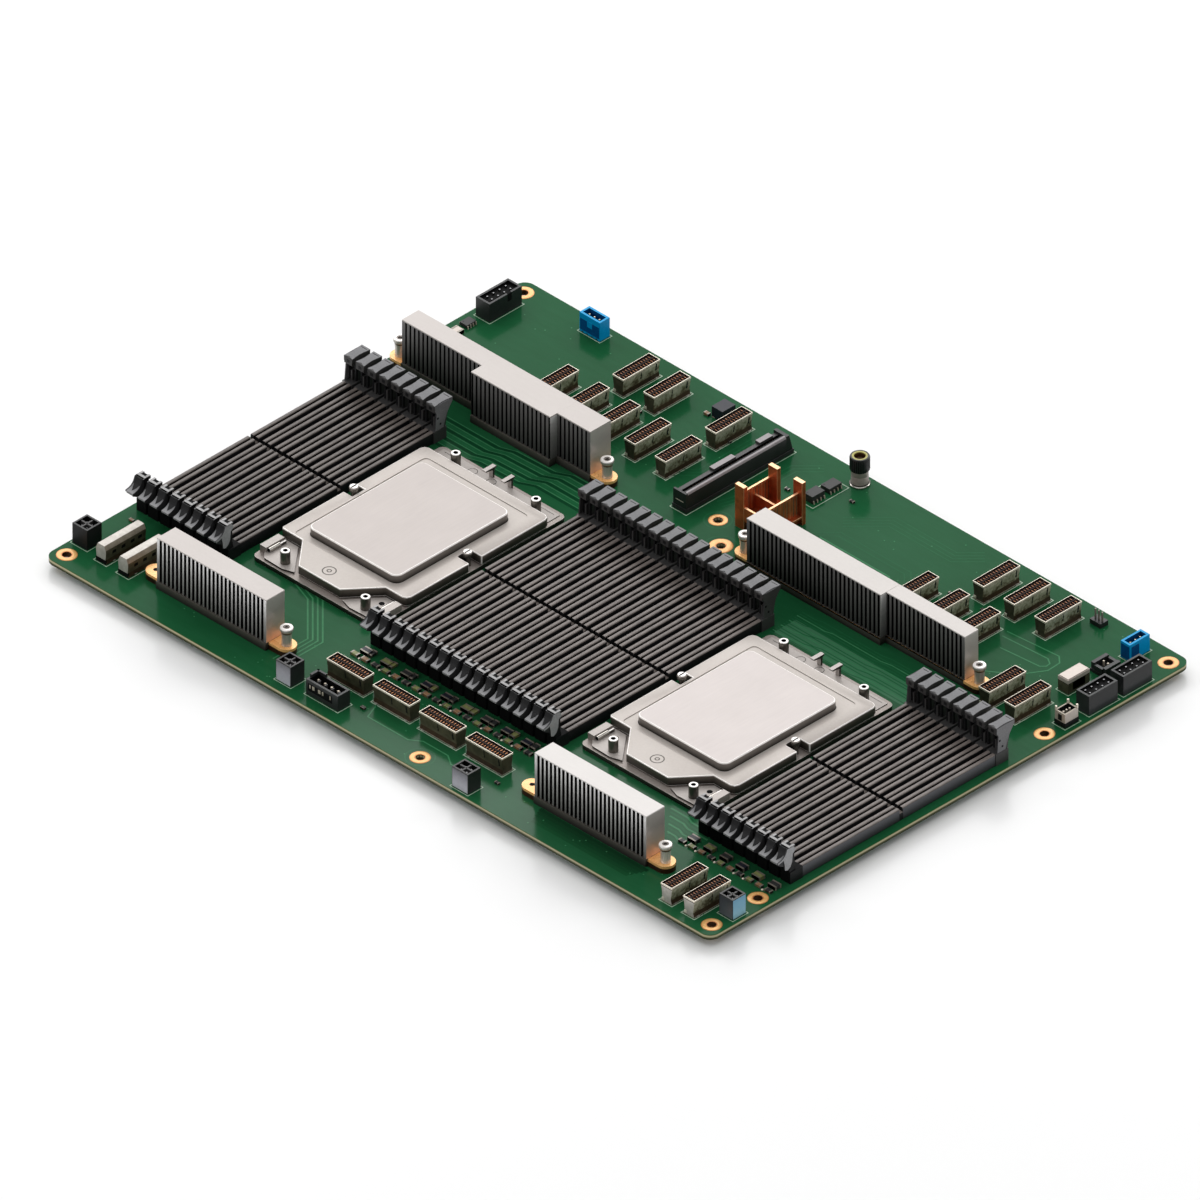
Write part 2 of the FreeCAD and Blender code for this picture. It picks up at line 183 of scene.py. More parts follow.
def board_material():
    """Solder mask on both faces and the laminate's layers on the edge between them, with painted shade over
    the edge's lower part and the mask's painted sheen.
    """
    nodes = Nodes("solder_mask")
    weave = nodes.noise(60, 2, nodes.mapped((1, 5, 1)))
    tone = nodes.math("MULTIPLY_ADD", weave, 0.25, nodes.span(nodes.noise(9, 2), 0, 0.75))
    mask = nodes.ramp(tone, [(0.28, linear("124c2a")), (0.74, linear("225c3a"))])
    depth = nodes.height(UNDER, TOP)
    # Edge bands from the underside up: the dark tones up to about 0.4 are painted shade, the pale bands above
    # are the laminate's layers
    layers = [(0, linear("1c4a2e")), (0.02, linear("343a2a")), (0.4, linear("54543e"))]
    layers += [(0.52, linear("b0aa8a")), (0.78, linear("c0b896")), (0.86, linear("78764c"))]
    layers += [(0.96, linear("305c36"))]
    on_edge = nodes.math("COMPARE", depth, 0.5, 0.49)
    colours = {"Factor": on_edge, "A": mask, "B": nodes.ramp(depth, layers)}
    nodes.shade(Base_Color=nodes.node("Mix", "Result", colours, data_type="RGBA"),
                Roughness=nodes.span(weave, 0.13, 0.2), Specular_IOR_Level=nodes.sheen())
    return nodes.material


def shell_material():
    """Stained sheet metal, paler towards the top."""
    nodes = Nodes("weathered_shell")
    speck = nodes.noise(700, 5)
    stain = nodes.span(nodes.noise(160, 3), 0, 0.5)
    rise = nodes.height(TOP, TOP + 9.6, -0.16, 0.14)
    tone = nodes.math("ADD", nodes.math("MULTIPLY_ADD", speck, 0.6, stain), rise)
    stops = [(0.3, linear("302418")), (0.44, linear("5c543e")), (0.56, linear("92927c"))]
    stops += [(0.76, linear("bebca8"))]
    nodes.shade(Base_Color=nodes.ramp(tone, stops), Roughness=nodes.span(speck, 0.35, 0.6),
                Metallic=0.2, Specular_IOR_Level=0.35)
    nodes.bump(speck, 0.25)
    return nodes.material


# Shared finishes: metallic, roughness, grain, specular, bump and stretch
# MASK and BARE leave specular None, which takes the solder mask's painted sheen; BARE also serves the painted
# shadow strips
MASK = (0, 0.16, 300, None)
BARE = (0, 0.16, 20, None)
GILT = (0.3, 0.34, 700, 0.5, 0.08)
TINNED = (0.35, 0.32, 900, 0.5, 0.1)
RIDGE = (0, 0.36, 1600, 0.3, 0.3, (1, 0.12, 1))
LATCH = (0, 0.42, 1200, 0.25, 0.2)
NICKEL = (0.12, 0.42, 900, 0.2, 0.03, (1, 0.08, 1))
ROOF = (0.12, 0.5, 500, 0.2, 0.03, (0.15, 1, 1))
# UPRIGHT draws the tones into upright streaks: painted reflection streaks on the turned sides of screws and
# posts
UPRIGHT = (1, 1, 0.05)
CERAMIC = (0, 0.5, 900, 0.5, 0.2)

# Two-tone surfaces: light and dark tone, then the finish
FINISHES = {
    "trace": ("408258 32704a", *MASK),
    "trace_dim": ("24643e 1b5634", *MASK),
    "trace_dark": ("124429 0e3c23", *MASK),
    "pour": ("407454 386b4c", *BARE),
    "silk": ("bacab8 92ae94", 0, 0.6, 600, 0.1),
    "gold": ("f0be76 dca45e", 0.2, 0.32, 700, 0.5, 0.08),
    "gold_edge": ("d89050 b4703a", *GILT),
    "brass": ("9c9646 726c2e", *GILT),
    # Dark plated barrels inside the holes and the cap's bore: painted shade
    "barrel": ("5c3a1c 2c1c10", 0.5, 0.4, 700, 0.5, 0.1),
    "tin": ("cec4b4 988e7e", *TINNED),
    "cap_metal": ("989186 645e54", *TINNED),
    "plastic": ("424141 323131", 0, 0.4, 1400, 0.3, 0.25),
    "plastic_dark": ("18181a 0d0d0f", 0, 0.45, 1400, 0.2, 0.2),
    # Ridge tops: a lit tone on the dark socket plastic, painted light; the left bank's is a shaded copy
    "ridge": ("7e7570 564f4c", *RIDGE),
    "ridge_left": ("6e6661 4a4441", *RIDGE),
    "pad": ("7a7a7c 5e5e60", *LATCH),
    "latch_side": ("404042 2e2e30", 0, 0.42, 1200, 0.2, 0.2),
    "latch_light": ("b0b0b2 8a8a8c", *LATCH),
    "tower_top": ("acabab 8a8989", *LATCH),
    "slot_pad": ("a49ea0 888284", *LATCH),
    "header": ("2a2b2c 1c1d1d", 0, 0.34, 1200, 0.3, 0.15),
    # Near black: painted shade in openings, holes, slots, gaps and under overhangs, and a few black parts
    "black": ("09090a 050506", 0, 0.7, 900, 0.1),
    "lid": ("c0b8b4 b8b0ac", *NICKEL),
    # Right lid: a lit copy of the lid tone, painted light
    "lid_right": ("cdc5c2 c5bdba", *NICKEL),
    "steel": ("bab3ae aca5a0", 0.15, 0.38, 800, 0.2, 0.07),
    "plate": ("beb7b1 b3aba5", 0.15, 0.38, 800, 0.2, 0.05),
    # Painted highlight: a much lighter steel for bevels, top rings and small top faces
    "steel_bright": ("fcf8f4 f0eae5", 0.15, 0.28, 800, 0.5, 0.05),
    "steel_mid": ("aaa19b 8f8680", 0.25, 0.38, 800, 0.25, 0.08),
    "steel_edge": ("544e48 34302c", 0.6, 0.36, 700, 0.5, 0.1),
    "chrome": ("cecac4 96918a", 0.95, 0.2, 900, 0.5, 0.05),
    "screw_side": ("f0eae2 7a746c", 0.4, 0.25, 260, 0.5, 0.05, UPRIGHT),
    "post_side": ("88827a 24221f", 0.6, 0.25, 260, 0.5, 0.05, UPRIGHT),
    "fin_top": ("c9c3bf c2bbb7", *ROOF),
    # Roofs of the right sinks: lit copies of the roof tone, painted light
    "fin_top_rear_right": ("d0cbc7 c9c4c0", *ROOF),
    "fin_top_front_right": ("dbd7d4 d4d0cd", *ROOF),
    # Painted shade on the walls between fins and on the dark core behind them
    "fin_slot": ("0a0909 050505", 0, 0.7, 500, 0.1),
    "copper": ("d27242 924625", 0.6, 0.34, 300, 0.5, 0.12),
    # Painted highlight on the copper clip's tops and bevels
    "copper_pale": ("fcd0a6 e6ac7c", 0.5, 0.3, 500, 0.5, 0.05),
    "copper_dark": ("4e2a16 20140d", 0.5, 0.42, 500, 0.5, 0.1),
    "tab": ("ffca86 f4b06a", 0.2, 0.26, 350, 0.5, 0.08),
    "shell_low": ("4a3826 221a11", 0.2, 0.45, 500, 0.3, 0.15),
    "shell_front": ("625e4a 2e2a1e", 0.2, 0.42, 260, 0.3, 0.15),
    "shell_end": ("565040 2a261c", 0.2, 0.42, 500, 0.3, 0.12),
    "shell_pale": ("aaa193 807769", 0.3, 0.38, 400, 0.5, 0.12),
    "shell_silver": ("ccc7c0 a09a92", 0.3, 0.36, 400, 0.5, 0.1),
    "rim": ("f4ecdd d6cbb8", 0.35, 0.34, 900, 0.5, 0.1),
    "contact_bed": ("2a120a 0f0705", 0, 0.6, 900, 0.2, 0.2),
    "contact": ("c48046 764020", 0.3, 0.4, 700, 0.5, 0.1),
    "blue": ("009cd8 0086c4", 0, 0.36, 900, 0.1, 0.1),
    "blue_rim": ("1ca6de 0e90cc", 0, 0.36, 900, 0.15, 0.1),
    "blue_dark": ("00528c 00386a", 0, 0.4, 900, 0.1),
    "chip": ("323232 222222", 0, 0.45, 1500, 0.3, 0.3),
    "navy": ("222432 14151e", 0, 0.42, 900, 0.3, 0.2),
    "tan": ("a4805c 66442e", *CERAMIC),
    "olive": ("92945c 586034", *CERAMIC),
    "white_top": ("c6bcb4 b6aba2", 0.3, 0.4, 600, 0.5, 0.1),
    "under": ("3c3c3f 2a2a2d", 0.5, 0.42, 700, 0.5, 0.2),
    "solder": ("c8c4ba 96948c", 0.7, 0.28, 900, 0.5, 0.1),
}
# Painted shadow and reflection of the front right heat sink on the board: five strips, darkest next to the
# sink
SHADE_TONES = ("0f3a21 0b311b", "113f24 0d361e", "134427 0f3b21", "15492a 114024", "174e2d 134527")
for k, codes in enumerate(SHADE_TONES):
    FINISHES["bare_%d" % k] = (codes, *BARE)

# Surfaces graded by height, their tones painted shade and light: tones, the two heights, metallic, roughness,
# grain and specular
FACE = (0.5, 10.5, 0)
FIN = (SINK_BASE_H, FIN_H)
FIN_END = (0.35, 0.36, 300)
GRADES = {
    # Side of a bank: painted shade, darker towards the foot
    "bank_side": ("2e2e30 4a4a4e 5e5e63", 0.3, 5.9, 0, 0.42, 1200, 0.25),
    # Latch scoop: painted shading, light at the lip and dark above
    "scoop": ("98989a 828284 606062", 13.8, 17.1, 0, 0.4, 1200, 0.25),
    # Header sheets and walls: painted light on the front faces, painted shade on the walls; the pale blue one
    # is a lit face
    "header_face": ("bcbcc4 96969e 5e5f64", *FACE, 0.3, 900, 0.4),
    "header_slate": ("60656c 484d53 303337", *FACE, 0.3, 900, 0.4),
    "header_side": ("323335 28292a 1e1f20", *FACE, 0.3, 900, 0.3),
    "blue_pale": ("92bece 78acc3 669cb8", *FACE, 0.4, 700),
    # Frame, base plate and lid sides: painted shade, darker towards the foot
    "frame_side": ("262420 4c4740 766e66", 3.2, 7.8, 0.4, 0.36, 700),
    "base_side": ("0e0e0d 46423d", 0, 2.2, 0.4, 0.4, 700),
    "lid_side": ("3c3834 706a65 8a837e", 7.9, 11.6, 0.4, 0.36, 700),
    # Fin faces: painted shading, dark at the foot and light at the top; the rear sinks take a darker, shaded
    # copy
    "fin": ("6e6c6b a5a3a2 f0eeed", *FIN, 0.3, 0.4, 600, 0.3),
    "fin_rear": ("403f3f 5f5d5d 7b7979", *FIN, 0.3, 0.45, 600, 0.2),
    # Sink ends: painted copper reflection at the foot, painted shade above it
    "fin_end": ("f6c4a4 bfafa3 a39d98 bcb7b2", *FIN, *FIN_END),
    "fin_end_rear": ("e6c3ab c5bab1 b2aca8 c7c3be", *FIN, *FIN_END),
    # Sink bases: painted shade, darker towards the foot
    "base_dark": ("22211f 423f3b 5c5852", 0, SINK_BASE_H, 0.3, 0.42, 600, 0.3),
}

MATERIALS = {"board": board_material(), "shell": shell_material()}
for kind, table in ((surface, FINISHES), (graded, GRADES)):
    for key, (codes, *finish) in table.items():
        MATERIALS[key] = kind(key, [linear(code) for code in codes.split()], *finish)


# Mesh building
SHARP, BEVEL_FROM = 38, 40
CUT_SHARP, CUT_BEVEL_FROM = 24, 75


def circle(x, y, r, n):
    turns = [2 * pi * i / n for i in range(n)]
    return [(x + r * cos(a), y + r * sin(a)) for a in turns]


def rectangle(wx, wy):
    return [(sx * wx / 2, sy * wy / 2) for sx, sy in ((-1, -1), (1, -1), (1, 1), (-1, 1))]


def mirrored(half):
    """Outline from its right half, which is given from the foot up."""
    return half + [(-x, z) for x, z in reversed(half)]


def soft_rect(x, y, wx, wy, r, n=6):
    """Rectangle with round corners of n steps each."""
    points = []
    for sx, sy, start in ((1, 1, 0), (-1, 1, 90), (-1, -1, 180), (1, -1, 270)):
        for k in range(n + 1):
            a = radians(start + 90 * k / n)
            points.append((x + sx * (wx / 2 - r) + r * cos(a), y + sy * (wy / 2 - r) + r * sin(a)))
    return points


def mitred(path, least):
    """Each point of a path with its sideways direction, which is longer at a bend."""
    points = [Vector(p) for p in path]
    for i, p in enumerate(points):
        before = (p - points[i - 1]).normalized() if i else (points[1] - p).normalized()
        after = (points[i + 1] - p).normalized() if i < len(points) - 1 else before
        way = (before + after).normalized()
        side = Vector((-way.y, way.x))
        yield p, side / max(least, side.dot(Vector((-before.y, before.x))))


class Shape:
    """Closed forms gathered in one mesh, each face with its material.

    Places are in millimetres from an origin, which lies on the board's top unless base is given.
    """

    def __init__(self, x=0, y=0, base=TOP):
        self.origin = (x, y, base)
        self.verts, self.faces, self.mats, self.names = [], [], [], []

    def at(self, x, y):
        """Moves the origin for the forms that follow."""
        self.origin = (x, y, self.origin[2])
        return self

    def mat(self, name):
        if name not in self.names:
            self.names.append(name)
        return self.names.index(name)

    def add(self, verts, faces, mats):
        first = len(self.verts)
        ox, oy, oz = self.origin
        self.verts += [(ox + x, oy + y, oz + z) for x, y, z in verts]
        self.faces += [[first + i for i in face] for face in faces]
        self.mats += [self.mat(name) for name in mats]

    def box(self, x0, x1, y0, y1, z0, z1, mat, top=None):
        verts = [(x, y, z) for z in (z0, z1) for y in (y0, y1) for x in (x0, x1)]
        faces = [(0, 2, 3, 1), (4, 5, 7, 6), (0, 1, 5, 4), (1, 3, 7, 5), (3, 2, 6, 7), (2, 0, 4, 6)]
        self.add(verts, faces, [mat, top or mat] + [mat] * 4)

    def slab(self, x, y, wx, wy, z0, z1, mat, top=None):
        """Box given by its middle and its widths."""
        self.box(x - wx / 2, x + wx / 2, y - wy / 2, y + wy / 2, z0, z1, mat, top)

    def prism(self, points, axis, start, end, mat, cap=None, sides=None):
        """Outline drawn out along an axis: x takes (y, z), y takes (x, z), z takes (x, y)."""
        k = "xyz".index(axis)
        n = len(points)
        verts = [(*p[:k], t, *p[k:]) for t in (start, end) for p in points]
        faces = [[i, (i + 1) % n, n + (i + 1) % n, n + i] for i in range(n)]
        faces += [range(n - 1, -1, -1), range(n, 2 * n)]
        self.add(verts, faces, (sides or [mat] * n) + [cap or mat] * 2)

    def tray(self, wx, wy, z0, z1, wall, floor, mat, rim, inner, bed):
        """Open box round the origin, with walls and a floor."""
        outer, inside = rectangle(wx, wy), rectangle(wx - 2 * wall, wy - 2 * wall)
        rows = ((outer, z0), (outer, z1), (inside, z1), (inside, floor))
        verts = [(*p, z) for points, z in rows for p in points]
        faces, mats = [(3, 2, 1, 0)], [mat]
        for i in range(4):
            j = (i + 1) % 4
            faces += [(k + i, k + j, k + 4 + j, k + 4 + i) for k in (0, 4, 8)]
            mats += [mat, rim, inner]
        self.add(verts, faces + [(12, 13, 14, 15)], mats + [bed])

    def lathe(self, x, y, profile, mats, n=28):
        """Turned form from (radius, height) points, from the bottom centre round to the top."""
        verts, rows, faces, names = [], [], [], []
        for r, z in profile:
            points = circle(x, y, r, n) if r else [(x, y)]
            rows.append([len(verts) + i % len(points) for i in range(n)])
            verts += [(*p, z) for p in points]
        for k, (low, high) in enumerate(zip(rows, rows[1:])):
            for i in range(n):
                j = (i + 1) % n
                face = list(dict.fromkeys((low[i], low[j], high[j], high[i])))
                if len(face) > 2:
                    faces.append(face)
                    names.append(mats if isinstance(mats, str) else mats[k])
        self.add(verts, faces, names)

    def wedge(self, points, t, mat):
        """Thin solid under a bent outline given anticlockwise from above."""
        n = len(points)
        verts = points + [(x, y, z - t) for x, y, z in points]
        faces = [range(n), range(2 * n - 1, n - 1, -1)]
        faces += [(i, i + n, (i + 1) % n + n, (i + 1) % n) for i in range(n)]
        self.add(verts, faces, [mat] * len(faces))

    def ribbon(self, path, width, mat, lift=0.03):
        """Flat line of a set width along a path."""
        points = list(mitred(path, 0.35))
        n = len(points)
        edges = [p + side * (width / 2 * sign) for sign in (1, -1) for p, side in points]
        faces = [(i, n + i, n + i + 1, i + 1) for i in range(n - 1)]
        self.add([(p.x, p.y, lift) for p in edges], faces, [mat] * (n - 1))


def smooth(mesh, sharp):
    mesh.polygons.foreach_set("use_smooth", [True] * len(mesh.polygons))
    mesh.set_sharp_from_angle(angle=radians(sharp))


def make_mesh(name, shape, flat=False):
    mesh = bpy.data.meshes.new(name)
    mesh.from_pydata([(x * MM, y * MM, z * MM) for x, y, z in shape.verts], [], shape.faces)
    for material in shape.names:
        mesh.materials.append(MATERIALS[material])
    mesh.polygons.foreach_set("material_index", shape.mats)
    if not flat:
        work = bmesh.new()
        work.from_mesh(mesh)
        bmesh.ops.recalc_face_normals(work, faces=work.faces)
        work.to_mesh(mesh)
        work.free()
    smooth(mesh, SHARP)
    return mesh


def round_edges(piece, bevel, steps, angle, highlight_mat):
    edge = piece.modifiers.new("edges", "BEVEL")
    edge.width = bevel * MM
    edge.segments = steps
    edge.limit_method = "ANGLE"
    edge.angle_limit = radians(angle)
    edge.harden_normals = True
    # The bevels take the given lighter material: a painted highlight on the edges
    if highlight_mat:
        if MATERIALS[highlight_mat] not in list(piece.data.materials):
            piece.data.materials.append(MATERIALS[highlight_mat])
        edge.material = list(piece.data.materials).index(MATERIALS[highlight_mat])


def place(name, form, nodes=(), slot=None, bevel=0, steps=2, x=0, highlight_mat=None):
    """Sets a shape or a mesh down as a piece that stands for the CAD nodes."""
    mesh = make_mesh(name, form) if isinstance(form, Shape) else form
    piece = bpy.data.objects.new(name, mesh)
    piece.location.x = x * MM
    scene.collection.objects.link(piece)
    if bevel:
        round_edges(piece, bevel, steps, BEVEL_FROM, highlight_mat)
    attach(piece, "root")
    if nodes:
        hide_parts(*nodes)


def cut(body, tool, bevel=0, highlight_mat=None):
    """Body mesh, its edges rounded if asked, with the tool mesh taken away."""
    whole, knife = [bpy.data.objects.new(mesh.name, mesh) for mesh in (body, tool)]
    for piece in (whole, knife):
        scene.collection.objects.link(piece)
    if bevel:
        round_edges(whole, bevel, 3, CUT_BEVEL_FROM, highlight_mat)
    away = whole.modifiers.new("cut", "BOOLEAN")
    away.operation = "DIFFERENCE"
    away.solver = "EXACT"
    away.object = knife
    bpy.context.view_layer.update()
    done = bpy.data.meshes.new_from_object(whole.evaluated_get(bpy.context.evaluated_depsgraph_get()))
    for piece in (whole, knife):
        bpy.data.objects.remove(piece)
    smooth(done, CUT_SHARP if bevel else SHARP)
    return done


# Circuit board: mask, plated rings, traces and vias
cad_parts["circuit_board"].data.materials.clear()
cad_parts["circuit_board"].data.materials.append(MATERIALS["board"])

BORE, BARREL = 2.24, 2.26
HOLES = [(sx * 209, sy * 148, 5) for sx in (-1, 1) for sy in (-1, 1)]
HOLES += [(209, -118, 5), (209, 67.7, 5), (20, -148, 5)]
HOLES += [(-17.5, 82.6, 4.6), (-2, 68.9, 5.8)]
# The barrel walls inside the holes take a dark tone: painted shade
rings = Shape(base=0)
for x, y, r in HOLES:
    ring = [(BARREL, UNDER + 0.2), (BARREL, TOP + 0.04), (2.8, TOP + 0.14), (r - 0.4, TOP + 0.14)]
    rings.lathe(x, y, ring + [(r, TOP + 0.02)], ["barrel", "gold_edge", "gold", "gold_edge"], 40)
    rings.lathe(x, y, [(BORE, UNDER - 0.1), (r - 0.5, UNDER - 0.1), (r - 0.5, UNDER)], "gold", 40)
place("hole_rings", rings, slot="solder_mask")

FLUSH = 0.02
lines = Shape()


def bundle(path, count, gap, width, mat="trace_dim"):
    """Parallel traces that follow one path."""
    for k in range(count):
        shift = (k - (count - 1) / 2) * gap
        lines.ribbon([p + side * shift for p, side in mitred(path, 0.4)], width, mat)


lines.ribbon([(64, 44.5), (148, 44.5)], 14, "pour", FLUSH)
# Painted shadow and reflection of the front right heat sink: strips that lighten away from it
for k in range(len(SHADE_TONES)):
    y = -138.5 - 2.2 * k
    lines.ribbon([(88 + k, y), (158 - k, y)], 2.2, "bare_%d" % k, FLUSH)
bundle([(-126, -84), (-104, -92), (-80, -116), (-80, -140)], 4, 2.3, 0.8, "trace")
for k in range(7):
    for shift, width, mat in ((0, 1.7, "trace_dim" if k % 2 else "trace_dark"), (1, 0.5, "trace")):
        x = k + shift
        y = 37.5 + 2.9 * k + 1.4 * shift
        path = [(-166, y - 3), (x - 136, y - 3), (x - 128, y), (x - 104, y + 1), (x - 96, y + 5)]
        lines.ribbon(path + [(-64, y + 5)], width, mat)
for k in range(13):
    y = 36.8 + 1.75 * k
    jog = 70 + 5 * (k % 4)
    bend = 112 + 3 * (k % 3)
    path = [(62, y), (jog, y), (jog + 4, y + 1.2), (bend, y + 1.2), (bend + 6, y + 2.4), (152, y + 2.4)]
    lines.ribbon(path, 0.6, "trace" if k % 3 == 1 else "trace_dim")
for k in range(9):
    y = -93 - 2.4 * k
    path = [(128 + 2 * k, y), (140 + k, y), (144 + k, y - 1.5), (160, y - 1.5)]
    lines.ribbon(path, 1, "trace" if k % 2 else "trace_dim")
bundle([(22, 96), (22, 106), (30, 114), (74, 114), (84, 104), (84, 92)], 2, 3, 0.6)
for path in (
    [(139, 113.4), (170, 116.2), (174, 112.5), (174.4, 104.5), (167, 92.6), (152.7, 82.8)],
    [(140, 109.3), (167.7, 111.2), (171.2, 109), (171.5, 106.4), (169.3, 104.2), (146, 102)],
):
    lines.ribbon(path, 0.7, "trace")
lines.ribbon([(24, 106), (70, 106), (76, 100), (70, 94)], 0.8, "trace")
bundle([(-200, 84), (-186, 98), (-150, 98), (-140, 88), (-90, 88)], 3, 2.6, 0.6)
bundle([(-62, 92), (-50, 104), (-50, 140)], 3, 2.4, 0.6)
bundle([(-26, 92), (-22, 104), (-22, 136), (-12, 146)], 3, 2.4, 0.7)
bundle([(24, 122), (40, 138), (80, 138), (90, 148)], 4, 2.4, 0.6)
path = [(-30, -116), (-20, -142), (6, -142), (12, -138), (28, -138), (34, -142), (44, -142)]
lines.ribbon(path, 0.7, "trace")
for x, y, r in HOLES:
    ring = circle(x, y, r + 2, 32)
    if all(abs(px) < RIGHT - 0.6 and abs(py) < REAR - 0.6 for px, py in ring):
        lines.ribbon(ring + ring[:1], 0.7, "trace_dim")
for _ in range(150):
    x, y = rng.uniform(-205, 205), rng.choice([rng.uniform(80, 150), rng.uniform(-152, -108)])
    lines.add([(*p, 0.035) for p in circle(x, y, 0.4, 8)], [range(8)], ["trace"])
place("board_traces", make_mesh("board_traces", lines, flat=True), slot="solder_mask")

# Painted shade: a black sheet on the board under the rows of sockets, where shade falls between them
ground = Shape()
for _, centre, count in BANKS:
    ground.slab(centre, BANK_MID, (count - 1) * PITCH + 5, BANK_REAR - BANK_FRONT - 1, 0, 0.3, "black")
place("bank_shade_sheet", ground, slot="socket_plastic", bevel=0.1, steps=1)

# Printed outlines, which the sections below add to
silk = Shape()


def outline(form, wx, wy, gap=0.7, width=0.4):
    """Printed line round a piece of the given widths at the form's origin."""
    x, y, _ = form.origin
    corners = [(x + a, y + b) for a, b in rectangle(wx + 2 * gap, wy + 2 * gap)]
    silk.ribbon(corners + [(corners[0][0], corners[0][1] - width / 2)], width, "silk")


# Memory sockets: one detailed mesh set down at every place
# Latch outlines are (distance out past the bank's end, height), and WAIST is (half width, distance out)
SCOOP = [(0, 9.3), (2.2, 10.4), (4.8, 11.9), (7.1, 13.4), (7.6, 14.2), (7.68, 15.1), (6.6, 15.25)]
SCOOP += [(5.2, 15.6), (4, 16.2), (3, 17.1), (2.3, 18.2), (1.8, 19.4), (1.4, LATCH_H)]
SCOOP += [(-1, LATCH_H), (-1, 9.3)]
TOWER = [(0.2, 6.3), (0.2, 17.6), (1.2, 19.6), (1.2, LATCH_H), (-2.3, LATCH_H), (-2.4, 6.3)]
STEM = [(-3.4, 6.3), (0, 6.3), (0.5, 9.5), (1.4, 13.4), (2.6, 16.2), (4, 18.4), (-5, 18.4)]
STEM += [(-4.6, 16.2), (-3.6, 15)]
LIP = [(-7.45, 16.6), (-6.9, 16.1), (-5.2, 16.1), (-4.6, 18.4), (-4.6, 20.3), (-7.1, 20.3), (-7.45, 19.9)]
WAIST = [(2.75, -7.45), (2.65, -6.4), (2.35, -4.6), (2.2, -2), (2.35, 0.4), (2.65, 2.4), (2.75, 4.3)]
FRONT_FACE = [(7.68, 15.1), (7.5, 14.3), (5.6, 14.6), (3.9, 15.1), (3.3, 12.5), (2.9, 9), (1.2, 8.4)]
FRONT_FACE += [(-0.6, 9.6), (-1.6, 12), (-2, 16.2), (-3.6, 17.4), (-3.6, 18.6), (-2.3, LATCH_H)]
FRONT_FACE += SCOOP[12:5:-1]
REAR_FACE = [(-7, 6.4), (-1.7, 6.4), (-0.9, 9.5), (0.6, 13.4), (2.4, 16.2), (4, 18.4), (4.2, LATCH_H)]
REAR_FACE += [(-7.3, LATCH_H), (-7.3, 17.6), (-6.2, 15.6), (-6.6, 11)]
KEY_Y, KEY_HALF, KEY_H, END_L = BANK_MID + 1.65, 1, 4.4, 8


def columns(centre, count):
    """Places of a bank's sockets from left to right."""
    return [centre + (i - (count - 1) / 2) * PITCH for i in range(count)]


